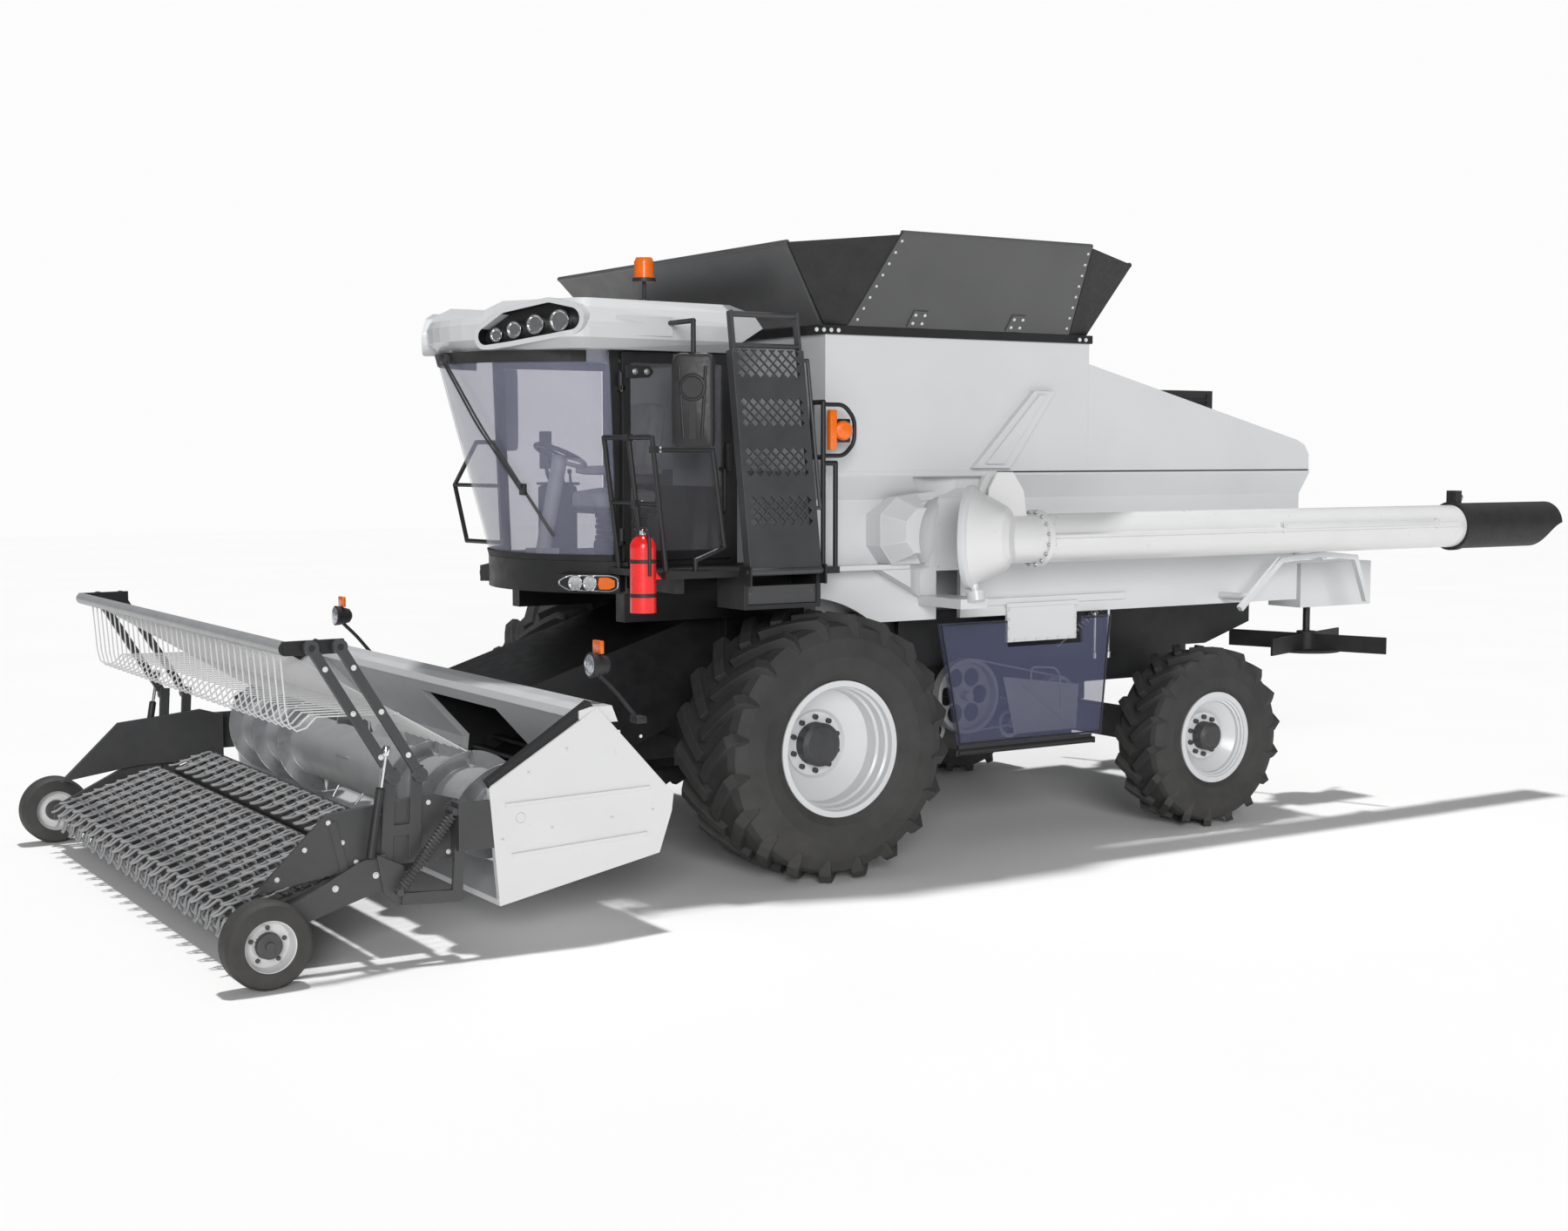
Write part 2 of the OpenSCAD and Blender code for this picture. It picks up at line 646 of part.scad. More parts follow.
module auger_rest() {
  seat_z = tube_z - tube_d/2 - 30;
  y = tube_y - 150;
  color([0.8, 0.81, 0.82]) at_axle() {
    side_plate(band([[-3900, 1690], [-4339, 2060], [-4800, seat_z], [-5191, 2060],
      [-5340, 1700]], 44), y - 22, y + 22);
    rod([-4000, body_half_w - tuck, 1775], [-4000, y, 1775], 60);
    rod([-4840, body_half_w - tuck + 5, seat_z - 20], [-4840, y, seat_z - 20], 60);
  }
}

/* Cab */

module arc_slab(cx, r, z, h) {
  translate([cx, 0, z]) cylinder(r = r, h = h);
}

// Places its children on the lamp pod at a front corner of the cab base.
module at_base_pod() {
  translate([1230, 790, 2025]) rotate([0, 0, 38]) children();
}
base_pod = 105;

module cab_base() {
  color([0.12, 0.12, 0.13]) at_axle() {
    intersection() {
      arc_slab(382, 1200, 1950, cab_floor_z - 1950);
      box([cab_rear, -cab_half_w, 1900], [1700, cab_half_w, cab_floor_z]);
    }
    mirror_y() at_base_pod() box([-120, -270, -58], [base_pod, 195, 58]);
    mirror_y() box([-370, 780, sep_top], [1100, 900, 1960]);
  }
}

module cab_frame() {
  color([0.1, 0.1, 0.11]) at_axle() {
    mirror_y() {
      box([cab_rear, cab_half_w - 70, cab_floor_z], [door_rear - 12, cab_half_w, cab_roof_z]);
      side_plate([[1105, cab_floor_z], [1175, cab_floor_z], [1225, cab_roof_z],
        [1155, cab_roof_z]], cab_half_w - 60, cab_half_w - 12);
      box([cab_rear, cab_half_w - 70, cab_roof_z - 60], [1215, cab_half_w - 14, cab_roof_z]);
    }
    for (z = [cab_floor_z + 140, cab_roof_z - 240]) {
      box([hinge_x - 4, cab_half_w - 20, z - 30], [hinge_x + 18, hinge_y + 14, z - 4]);
      translate([hinge_x, hinge_y, z - 20]) cylinder(d = hinge_pin, h = hinge_h + 20);
    }
    box([cab_rear, -cab_half_w + 70, cab_floor_z], [cab_rear + 40, cab_half_w - 70, cab_floor_z + 500]);
    box([cab_rear, -cab_half_w + 70, cab_roof_z - 60], [cab_rear + 60, cab_half_w - 70, cab_roof_z]);
  }
}

module wind_shell(grow) {
  hull() {
    arc_slab(382, 1190 + grow, cab_floor_z, 1, $fn = 72);
    arc_slab(1040, 954 + grow, cab_roof_z - 1, 1, $fn = 72);
  }
}

module cab_glass() {
  color([0.35, 0.42, 0.45, 0.5]) at_axle() {
    intersection() {
      difference() {
        wind_shell(0);
        wind_shell(-14);
      }
      difference() {
        box([1176, -cab_half_w + 14, cab_floor_z], [2200, cab_half_w - 14, cab_roof_z]);
        mirror_y() side_plate([[1000, cab_floor_z], [1177, cab_floor_z], [1227, cab_roof_z],
          [1000, cab_roof_z]],
          cab_half_w - 62, cab_half_w);
      }
    }
    box([door_rear, -cab_half_w, cab_floor_z], [1105, -cab_half_w + 10, cab_roof_z - 60]);
    box([cab_rear, -cab_half_w + 70, cab_floor_z + 500], [cab_rear + 10, cab_half_w - 70,
      cab_roof_z - 60]);
  }
}

module roof_layer(z, inset) {
  translate([940, 0, z]) cylinder(r = 1110 - inset, h = 1, $fn = 48);
  mirror_y() translate([roof_corner_x - inset/2, roof_corner_y - inset/2, z])
    cylinder(r = 160 - inset/4, h = 1, $fn = 24);
  box([110 + inset, inset - roof_side, z], [940, roof_side - inset, z + 1]);
}
roof_corner_x = 1490;
roof_corner_y = 1010;
roof_side = 1110;

// Places its children on the face of a roof lamp pod.
module at_pod() {
  translate([1755, 800, cab_roof_z + 150]) rotate([0, 0, pod_turn]) rotate([pod_tilt, 0, 0]) children();
}
pod_turn = 31;
pod_tilt = 6;

// Bean-shaped outline of a lamp pod, grown evenly.
module pod_shape(grow) {
  hull() for (c = [[-330, -28, 58], [-150, 12, 98], [180, 28, 100], [345, 2, 74]]) {
    translate([c[0], c[1]]) circle(r = c[2] + grow, $fn = 32);
  }
}

// Hood standing proud of the roof round a lamp pod.
module pod_hood() {
  at_pod() translate([-300, 0, 0]) rotate([90, 0, 90]) linear_extrude(325) pod_shape(34);
}

// Recess of a lamp pod, cut inwards from its face.
module pod_recess() {
  at_pod() translate([-pod_depth, 0, 0]) rotate([90, 0, 90]) linear_extrude(400) pod_shape(0);
}
pod_depth = 70;

module cab_roof() {
  color([0.8, 0.81, 0.82]) at_axle() {
    difference() {
      union() {
        difference() {
          hull() {
            roof_layer(cab_roof_z, 110);
            roof_layer(cab_roof_z + 70, 10);
            roof_layer(cab_roof_z + 170, 0);
            roof_layer(cab_roof_z + 270, 50);
            roof_layer(cab_roof_z + roof_h + 15, 170);
          }
          side_plate([[1330, cab_roof_z + 390], [1480, cab_roof_z + 270], [2150, cab_roof_z + 205],
            [2150, cab_roof_z + 390]],
            -440, 440);
        }
        mirror_y() pod_hood();
      }
      mirror_y() pod_recess();
      box([1000, -1300, cab_roof_z - 100], [2300, 1300, cab_roof_z]);
      side_plate([[320, cab_roof_z - 10], [310, cab_roof_z + 50], [110, cab_roof_z + 170],
        [130, cab_roof_z + 260],
        [240, cab_roof_z + roof_h + 20], [-400, cab_roof_z + roof_h + 20],
        [-400, cab_roof_z - 10]], -1300, 1300);
    }
    mirror_y() box([850, roof_side - 60, cab_roof_z + 90], [1280, roof_side + 40, cab_roof_z + 220]);
  }
}

module roof_lamps() {
  color([0.85, 0.87, 0.9]) at_axle() mirror_y() {
    for (lamp = [[-272, -24, 88], [-125, -8, 106], [45, 6, 124], [236, 6, 138]]) {
      at_pod() rod([-pod_depth, lamp[0], lamp[1]], [-pod_depth + 50, lamp[0], lamp[1]], lamp[2]);
    }
    for (y = [-130, -20]) {
      at_base_pod() rod([base_pod, y, 0], [base_pod + 10, y, 0], 92);
    }
  }
}

module seat() {
  color([0.12, 0.13, 0.15]) at_axle() {
    box([480, -180, cab_floor_z], [800, 180, cab_floor_z + 330]);
    box([430, -270, cab_floor_z + 330], [950, 270, cab_floor_z + 470]);
    side_plate([[430, cab_floor_z + 470], [560, cab_floor_z + 470], [460, cab_floor_z + 1120],
      [350, cab_floor_z + 1120]], -250, 250);
    mirror_y() box([470, 290, cab_floor_z + 470], [850, 350, cab_floor_z + 640]);
    mirror_y() box([480, 260, cab_floor_z + 380], [560, 300, cab_floor_z + 640]);
    box([760, -700, cab_floor_z], [1000, -420, cab_floor_z + 520]);
    box([960, -640, cab_floor_z + 520], [990, -480, cab_floor_z + 900]);
  }
}

module steering() {
  color([0.1, 0.1, 0.1]) at_axle() {
    box([1190, -90, cab_floor_z], [1370, 90, cab_floor_z + 60]);
    rod([1276, 0, cab_floor_z + 20], [1130, 0, cab_floor_z + 720], 110);
    translate([1130, 0, cab_floor_z + 720]) rotate([0, -25, 0]) {
      rotate_extrude() translate([190, 0]) circle(d = 34);
      for (a = [0 : 120 : 240]) {
        rotate([0, 0, a]) translate([0, -18, -8]) cube([190, 36, 16]);
      }
    }
  }
}

/* Platform, ladder and rails */

module platform() {
  color([0.14, 0.14, 0.15]) at_axle() {
    difference() {
      box([deck_x0, cab_half_w, deck_top - 45], [deck_x1, deck_y1, deck_top]);
      box([ladder_x0 - 20, 1500, 1800], [ladder_x1 + 20, 2000, deck_top + 10]);
      box([deck_x0 - 10, 1350, 1800], [-100, 2000, deck_top + 10]);
    }
    difference() {
      box([ladder_x0 - 20, 1490, 1880], [ladder_x1 + 20, 1840, deck_top]);
      box([ladder_x0 + 10, 1520, 1910], [ladder_x1 - 10, 1900, deck_top - 30]);
    }
    difference() {
      for (x = [ladder_x0 - 20, ladder_x1 + 8]) {
        box([x, 1780, 2040], [x + 12, ladder_y + 40, ladder_z + 40]);
      }
      rod([ladder_x0 - 30, ladder_y, ladder_z], [ladder_x1 + 30, ladder_y, ladder_z],
        ladder_pin + 2*pin_play);
    }
    box([cab_rear + 50, cab_half_w, 1990], [cab_rear + 110, 1480, deck_top - 45]);
    box([1050, cab_half_w, 1990], [1110, 1640, deck_top - 45]);
  }
}

// Folding ladder: two side strips, treads and a hoop, leaning in when folded up.
ladder_pin = 30;
ladder_lean = 9;
ladder_l = 1480;
// Diamond holes of one grille band, centred on the band.
module grille(w, h) {
  a = h/3;
  for (j = [-1 : 0.5 : 1]) {
    for (i = [-3 : 3]) {
      if (abs(j*2) % 2 == 0 || i < 3) {
        translate([i*w/7 + (abs(j*2) % 2)*w/14, j*a]) rotate(45) square(0.62*a, center = true);
      }
    }
  }
}

module ladder() {
  wide = ladder_x1 - ladder_x0;
  color([0.25, 0.26, 0.27]) at_axle() translate([0, ladder_y, ladder_z]) rotate([ladder_lean, 0, 0]) {
    translate([ladder_x0 + wide/2, 8, 0]) rotate([90, 0, 0]) linear_extrude(16) difference() {
      translate([-wide/2, 20]) square([wide, ladder_l - 20]);
      for (i = [0 : 3]) {
        translate([0, 400 + i*330]) grille(wide - 60, 210);
      }
    }
    for (x = [ladder_x0, ladder_x1 - 14]) {
      box([x, -70, 40], [x + 14, 0, ladder_l]);
    }
    for (i = [0 : 3]) {
      box([ladder_x0 + 10, -70, 250 + i*330], [ladder_x1 - 10, 0, 266 + i*330]);
    }
    for (x = [ladder_x0 + 14, ladder_x1 - 30]) {
      box([x, -50, ladder_l - 20], [x + 16, 10, ladder_l + 260]);
    }
    rod([ladder_x0 + 20, -20, ladder_l + 240], [ladder_x1 - 20, -20, ladder_l + 240], 40);
    rod([ladder_x0 + 20, -20, ladder_l + 30], [ladder_x1 - 20, -20, ladder_l + 30], 34);
    tube_path([[ladder_x0 + 10, -20, 420], [ladder_x0 - 45, -20, 420],
      [ladder_x0 - 45, -20, ladder_l - 60],
      [ladder_x0 + 10, -20, ladder_l - 60]], 26);
    rod([ladder_x0 + 2, 0, 0], [ladder_x1 - 2, 0, 0], 50);
    rod([ladder_x0 - 20, 0, 0], [ladder_x1 + 20, 0, 0], ladder_pin);
    box([ladder_x0 + 10, -8, 0], [ladder_x1 - 10, 8, 40]);
  }
}

// Tube clamp round an upright rail.
module clamp(p) {
  translate(p - [26, 26, 22]) cube([52, 52, 44]);
}

module handrails() {
  front = deck_x1 - 20;
  lean = 110;
  foot = deck_top + 2.3;
  side = -cab_half_w + 7;
  rail_y = deck_y1 - 25;
  color([0.1, 0.1, 0.1]) at_axle() {
    tube_path([[front, 1080, foot], [front + lean, 1080, 3010], [front + lean, 1740, 3010],
      [front, 1720, foot]], 34);
    rod([front + lean/2, 1080, 2580], [front + lean/2, 1730, 2580], 30);
    rod([front, 1420, foot], [front + lean, 1420, 3030], 34);
    tube_path([[front + lean - 20, 1735, 2930], [880, 1720, 2930], [790, 1720, 2290], [1010, 1720, 2210],
      [1010, 1720, deck_top]], 34);
    clamp([front + lean, 1420, 3010]);
    clamp([front + lean/2, 1420, 2580]);
    clamp([front + 0.82*lean, 1735, 2930]);
    tube_path([[20, rail_y, foot], [20, rail_y, 3250], [20, rail_y - 140, 3250],
      [20, rail_y - 140, 2880], [20, rail_y, 2880]], 34);
    tube_path([[20, rail_y, 2840], [-80, rail_y, 2840], [-80, rail_y, foot]], 34);
    tube_path([[1165, side, 2990], [1240, -1220, 2990], [1240, -1640, 2660], [1240, -1420, 2230],
      [1165, side, 2230]], 34);
    rod([1240, -1640, 2660], [1165, side, 2660], 30);
  }
}

module mirrors() {
  color([0.08, 0.08, 0.08]) at_axle() mirror_y() {
    rod([mirror_x, roof_side + 40, mirror_z + 220], [mirror_x, mirror_y0, mirror_z + 220], 34);
    translate([mirror_x, mirror_y0, mirror_z + 220]) sphere(d = 37);
    rod([mirror_x, mirror_y0, mirror_z + 220], [mirror_x, mirror_y0, mirror_z - 20], 34);
    translate([mirror_x, mirror_y0, mirror_z]) rotate([0, 0, 50]) {
      box([-30, -130, -620], [30, 130, 0]);
      rod([0, 0, -230], [42, 0, -230], 150);
      box([0, -24, -560], [42, 24, -290]);
    }
  }
}
mirror_x = 870;
mirror_y0 = 1460;
mirror_z = cab_roof_z - 40;

module beacon() {
  color([0.9, 0.45, 0.05]) at_axle() translate([920, 880, cab_roof_z + roof_h + 16]) {
    cylinder(d = 90, h = 16);
    cylinder(d = 26, h = 150);
    translate([0, 0, 134]) cylinder(d = 158, h = 26);
    translate([0, 0, 154]) cylinder(d = 136, h = 120);
    translate([0, 0, 264]) cylinder(d1 = 136, d2 = 110, h = 34);
  }
}

module extinguisher() {
  color([0.75, 0.08, 0.08]) at_axle() {
    translate([1360, 1650, 1880]) cylinder(d = 170, h = 420);
    translate([1360, 1650, 2300]) sphere(d = 170);
    translate([1360, 1650, 2300]) cylinder(d = 44, h = 120);
    box([deck_x1, 1600, 2095], [1300, 1700, 2140]);
  }
}

/* Rear */

module spreader_drives() {
  color([0.78, 0.79, 0.8]) at_axle() mirror_y() {
    box([-5930, spreader_y - 180, 1620], [-5080, spreader_y + 180, 1990]);
    box([-5080, spreader_y - 80, 1740], [-hood_rear, spreader_y + 80, 1900]);
    translate([spreader_x, spreader_y, 1320]) cylinder(d = spreader_shaft, h = 330);
  }
}

spreader_shaft = 60;

module spreader(side) {
  color([0.09, 0.09, 0.09]) at_axle() translate([spreader_x, side*spreader_y, 1230]) {
    cylinder(d = 560, h = 20);
    difference() {
      cylinder(d = 160, h = 170);
      translate([0, 0, 80]) cylinder(d = spreader_shaft + 2*pin_play, h = 100);
    }
    for (a = [20 : 90 : 290]) {
      rotate([0, 0, a]) box([60, -10, 10], [700, 10, 150]);
    }
  }
}

module spreader_left() { spreader(1); }
module spreader_right() { spreader(-1); }

module drive_shield() {
  color([0.3, 0.45, 0.5, 0.6]) at_axle() difference() {
    union() {
      side_plate([[shield_x1, shield_z + 45], [-1142, 1680], [-1770, 1680], [-1770, 1480], [-2500, 1480],
        [-2500, 1680],
        [-2781, 1680], [shield_x0, shield_z + 45]], shield_y, shield_y + 30);
      rod([hinge_x0, shield_y + 15, shield_z], [shield_x1, shield_y + 15, shield_z], 50);
      side_plate([[shield_x1, shield_z], [shield_x1, shield_z + 60], [hinge_x0, shield_z + 60],
        [hinge_x0, shield_z]],
        shield_y + 5, shield_y + 25);
    }
    rod([hinge_x0 - 10, shield_y + 15, shield_z], [hinge_x0 + 60, shield_y + 15, shield_z],
      shield_pin + 2*pin_play);
    rod([shield_x1 - 60, shield_y + 15, shield_z], [shield_x1 + 10, shield_y + 15, shield_z],
      shield_pin + 2*pin_play);
  }
}

/* Unloading auger */

module unload_tube() {
  r = dish_d/2 - 3;
  color([0.84, 0.85, 0.86]) at_axle() {
    rod([-1320, tube_y, tube_z], [-spout_reach + spout_len, tube_y, tube_z], tube_d);
    rod([-1720, tube_y, tube_z], [-1670, tube_y, tube_z], tube_d + 60);
    translate([-swing_x, tube_y - 50, tube_z + 17]) rotate([0, 0, -dish_turn]) rotate([0, -90, 0])
      rotate_extrude()
        polygon([[0, 10], [r, 10], [r, 44], [r - 22, 60], [tube_d/2 + 40, 290], [tube_d/2 - 20, 330],
          [0, 330]]);
    for (y = [tube_y - 60, tube_y + 44]) {
      side_plate([[-1210, 2440], [-1230, 2660], [-1300, 2775], [-1440, 2775], [-1540, 2640],
        [-1570, 2440]], y, y + 16);
    }
    rod([-1700, tube_y + tube_d/2 + 6, tube_z + 20], [spout_start + 160, tube_y + tube_d/2 + 6,
      tube_z + 20], 36);
    at_swing() translate([0, 0, -460]) cylinder(d = swing_pin, h = 160);
  }
}
spout_start = spout_len - spout_reach;
dish_turn = 50;

module unload_spout() {
  color([0.08, 0.08, 0.08]) at_axle() difference() {
    union() {
      rod([spout_start + 60, tube_y, tube_z], [-spout_reach, tube_y, tube_z], tube_d + 30);
      rod([spout_start + 60, tube_y, tube_z], [spout_start, tube_y, tube_z], tube_d + 56);
      box([spout_start - 20, tube_y - 50, tube_z + tube_d/2],
        [spout_start + 50, tube_y + 50, tube_z + tube_d/2 + 120]);
    }
    rod([spout_start + 80, tube_y, tube_z], [-spout_reach - 20, tube_y, tube_z], tube_d);
    rod([-spout_reach - 60, tube_y - 300, tube_z - 260], [-spout_reach - 60, tube_y + 300, tube_z - 260],
      560);
  }
}

/* Door */

hinge_x = door_front + 8;
hinge_y = cab_half_w + 20;
hinge_pin = 16;
hinge_h = 90;

module cab_door() {
  color([0.1, 0.1, 0.11]) at_axle() difference() {
    union() {
      box([door_rear, cab_half_w - 4, cab_floor_z + gap], [door_front, cab_half_w + 30, cab_roof_z - 10]);
      for (z = [cab_floor_z + 140, cab_roof_z - 240]) {
        translate([hinge_x, hinge_y, z]) cylinder(d = 38, h = hinge_h);
      }
    }
    box([door_rear + 60, cab_half_w - 20, cab_floor_z + 70],
      [door_front - 60, cab_half_w + 12, cab_roof_z - 80]);
    box([door_rear + 60, cab_half_w + 20, cab_floor_z + 70],
      [door_front - 60, cab_half_w + 40, cab_roof_z - 80]);
    translate([hinge_x, hinge_y, cab_floor_z]) cylinder(d = hinge_pin + 2*pin_play,
      h = cab_roof_z - cab_floor_z);
    for (z = [cab_floor_z + 140, cab_roof_z - 240]) {
      translate([hinge_x, hinge_y, z - 36]) cylinder(r = 36, h = 36);
    }
  }
}

/* Header */

// Back sheet corners of the header in X and Z.
back_a = [2090, 1394];
back_b = [1573, 831];
back_c = [1586, 724];
back_d = [1673, 474];
auger_shaft = 60;
play_x = [face_play, 0];
function on_leg(a, b, z) = [a[0] + (z - a[1])*(b[0] - a[0])/(b[1] - a[1]), z];

module feeder_house() {
  color([0.11, 0.11, 0.12]) at_axle() difference() {
    side_plate([[40, 1780], [300, 1780], on_leg(back_b, back_a, 1250) - play_x, back_b - play_x,
      back_c - play_x, on_leg(back_c, back_d, 540) - play_x, [400, 1080], [40, 1480]],
      -feeder_half_w, feeder_half_w);
    side_plate([[0, 1720], [280, 1730], [2000, 1190], [2000, 600], [1500, 660], [420, 1140], [0, 1580]],
      -feeder_half_w + wall, feeder_half_w - wall);
    mirror_y() rod([pivot_x, feeder_half_w - 60, pivot_z],
      [pivot_x, feeder_half_w + 10, pivot_z], 90 + 2*pin_play);
  }
  color([0.11, 0.11, 0.12]) at_axle() for (p = [[1560, 1215], [1400, 1265], [1490, 730], [1330, 790]]) {
    box([p[0], wall - feeder_half_w - 10, p[1]], [p[0] + 70, feeder_half_w - wall + 10, p[1] + 26]);
  }
  color([0.11, 0.11, 0.12]) at_axle() mirror_y() for (y = [lift_y - 70, lift_y + 50]) {
    side_plate([[lift_eye_x - 70, lift_eye_z - 60], [lift_eye_x + 70, lift_eye_z - 60],
      [lift_eye_x + 130, 640],
      [lift_eye_x - 130, 720]], y, y + 20);
  }
}

lift_base_x = 350;
lift_base_z = 620;
lift_eye_x = 1400;
lift_eye_z = 560;
lift_a = atan2(lift_eye_z - lift_base_z, lift_eye_x - lift_base_x);
lift_l = norm([lift_eye_x - lift_base_x, lift_eye_z - lift_base_z]);

lift_y = 560;
lift_pin = 50;
lift_barrel_l = 620;
lift_rod_d = 58;

module lift_barrels() {
  color([0.15, 0.15, 0.16]) at_axle() mirror_y()
    translate([lift_base_x, lift_y, lift_base_z]) rotate([0, -lift_a, 0]) difference() {
      union() {
        rod([0, 0, 0], [lift_barrel_l, 0, 0], 110);
        rod([0, -50, 0], [0, 50, 0], 120);
      }
      rod([300, 0, 0], [lift_barrel_l + 20, 0, 0], lift_rod_d + 2*pin_play);
      rod([0, -60, 0], [0, 60, 0], lift_pin + 2*pin_play);
    }
}

module lift_rods() {
  color([0.8, 0.8, 0.82]) at_axle() mirror_y()
    translate([lift_base_x, 560, lift_base_z]) rotate([0, -lift_a, 0])
      {
        rod([310, 0, 0], [lift_l - 30, 0, 0], lift_rod_d);
        difference() {
          rod([lift_l, -40, 0], [lift_l, 40, 0], 110);
          rod([lift_l, -50, 0], [lift_l, 50, 0], lift_pin + 40);
        }
      }
}

module header_trough() {
  end_y = header_half_w - 10;
  color([0.78, 0.79, 0.8]) at_axle() difference() {
    union() {
      side_plate([back_a, back_b, back_c, back_d, [2738, 269], [2746, 309], [1706, 510], [1626, 735],
        [1616, 815], [2120, 1364]], -end_y, end_y);
      side_plate([[1950, 1300], [2080, 1300], [2210, 1330], [2210, 1380], [2130, 1400],
        [1990, 1400]], -end_y, end_y);
      mirror_y() {
        side_plate([[2738, 269], [2800, 970], back_a, back_b, back_c, back_d], header_half_w - 40,
          header_half_w);
        side_plate(band([[1740, 880], [2700, 860]], 26), header_half_w - 10, header_half_w + 8);
        side_plate(band([[1760, 600], [2660, 560]], 26), header_half_w - 10, header_half_w + 8);
        side_plate(band([[2786, 985], back_a + [30, 20]], 50), header_half_w - 90, header_half_w - 20);
        rod([auger_x, header_half_w - 60, auger_z], [auger_x, header_half_w - 30, auger_z], 140);
      }
    }
    box([1500, -feeder_half_w + wall, 600], [2100, feeder_half_w - wall, 1190]);
    rod([auger_x, -header_half_w - 10, auger_z], [auger_x, header_half_w + 10, auger_z],
      auger_shaft + 2*pin_play);
  }
}

flight_pitch = 560;
auger_half = header_half_w - 60 - 12;

// Half a turn of the flight: a tilted plate trimmed round, on the front or the back of the drum.
module half_turn(y, hand, front) {
  r = flight_d/2;
  tilt = atan2(flight_pitch/4, r);
  translate([0, y, 0]) intersection() {
    rod([0, -flight_pitch, 0], [0, flight_pitch, 0], flight_d);
    rotate([front ? -hand*tilt : hand*tilt, 0, 0])
      box([front ? 4 : -r - 9, -6, -2*r], [front ? r + 9 : -4, 6, 2*r]);
  }
}

module header_auger() {
  turns = floor(2*(auger_half - 420)/flight_pitch);
  color([0.7, 0.71, 0.72]) at_axle() translate([auger_x, 0, auger_z]) {
    rod([0, -auger_half, 0], [0, auger_half, 0], drum_d);
    rod([0, -header_half_w, 0], [0, header_half_w, 0], auger_shaft);
    for (i = [0 : turns - 1]) {
      half_turn(auger_half - 200 - i*flight_pitch/2, 1, i % 2 == 0);
      half_turn(-auger_half + 200 + i*flight_pitch/2, -1, i % 2 == 0);
    }
    for (i = [-3 : 3]) {
      rotate([0, i*70, 0]) rod([0, i*110, 0], [0, i*110, flight_d/2 - 6], 16);
    }
  }
}

// Coil spring drawn as a turned ridge round its length.
module spring(a, b, d, n) {
  v = b - a;
  stem = 30;
  step = (norm(v) - 2*stem)/n;
  ridge = [for (i = [0 : n - 1], k = [0, 1]) [k == 0 ? 0.36*d : d/2, stem + (i + 0.25 + k/2)*step]];
  translate(a) rotate([0, acos(v[2]/norm(v)), atan2(v[1], v[0])])
    rotate_extrude()
      polygon(concat([[0, 0], [12, 0], [12, stem]], ridge, [[12, norm(v) - stem], [12, norm(v)],
        [0, norm(v)]]));
}

module pickup_frame() {
  arm_y = pick_y + 40;
  color([0.2, 0.21, 0.22]) at_axle() {
    mirror_y() {
      side_plate([[4145, 477], [3721, 887], [3429, 915], [3100, 950], [2930, 900], [2930, 560],
        [3382, 560], [3570, 560]],
        pick_y, pick_y + 40);
      side_plate(band([[3700, 840], [3610, 470]], 44), pick_y + 40, pick_y + 52);
      box([2930, pick_y + 30, 620], [2990, header_half_w, 900]);
      side_plate([[2770, 620], [2990, 620], [2990, 900], [2795, 900]], header_half_w - 40, header_half_w);
      side_plate([[4190, 200], [4190, 290], [3560, 600], [3400, 640], [3392, 440]], arm_y, arm_y + 40);
      rod([gauge_x, arm_y + 30, gauge_r], [gauge_x, gauge_y + gauge_w/2 - 10, gauge_r], 2*gauge_stub_r);
      side_plate([[3460, 640], [3300, 560], [3270, 400], [3330, 330],
        [3420, 420]], arm_y + 30, arm_y + 60);
      side_plate(band([[3317, 370], [2960, 350]], 70), arm_y + 50, arm_y + 80);
      side_plate(band([[2980, 330], [2960, 660]], 60), arm_y + 50, arm_y + 80);
      for (x = [bar_front_x, bar_rear_x]) {
        side_plate(band([[x, bar_z + 50], [x + 30, 590]], 70), arm_y - 2, arm_y + 20);
      }
      side_plate(band([[bar_rear_x - 20, 760], [bar_front_x + 50, 760]], 60), arm_y, arm_y + 20);
      spring([3345, arm_y + 100, 420], [3002, arm_y + 100, 850], 70, 22);
      rod([3345, arm_y + 20, 420], [3345, arm_y + 125, 420], 40);
      rod([3002, arm_y - 10, 850], [3002, arm_y + 125, 850], 40);
      side_plate(band([[2940, 880], [3002, 850]], 70), arm_y - 12, arm_y + 20);
    }
    mirror_y() for (x = [bar_front_x, bar_rear_x]) {
      rod([x, guard_y - 40, bar_z], [x, guard_y + 22, bar_z], guard_pin - 2*pin_play);
    }
    rod([4100, -arm_y - 20, 262], [4100, arm_y + 20, 262], 60);
    rod([3440, -arm_y - 20, 470], [3440, arm_y + 20, 470], 60);
    rod([3040, -pick_y - 20, 580], [3040, pick_y + 20, 580], 60);
  }
}

// Belt round two rollers of one radius, bored for their shafts.
module belt_loop(a, b, r) {
  side = leg(a, b)*r;
  difference() {
    union() {
      side_plate([a + side, b + side, b - side, a - side], -belt_half_w, belt_half_w);
      for (p = [a, b]) {
        rod([p[0], -belt_half_w, p[1]], [p[0], belt_half_w, p[1]], 2*r);
      }
    }
    for (p = [a, b]) {
      rod([p[0], -belt_half_w - 1, p[1]], [p[0], belt_half_w + 1, p[1]], 60);
    }
  }
}

// Rows of spring tines standing on the upper run of a belt.
module tine_rows(a, b, r, rows) {
  up = -leg(a, b);
  for (k = [0 : rows - 1]) {
    q = a + (b - a)*(k + 0.5)/rows + up*(r - 6);
    for (i = [0 : tine_n - 1]) {
      y = (i - (tine_n - 1)/2)*(2*belt_half_w - 120)/(tine_n - 1);
      side_plate(band([q, q + up*50 + (a - b)/norm(a - b)*26], 12), y - 5, y + 5);
    }
  }
}

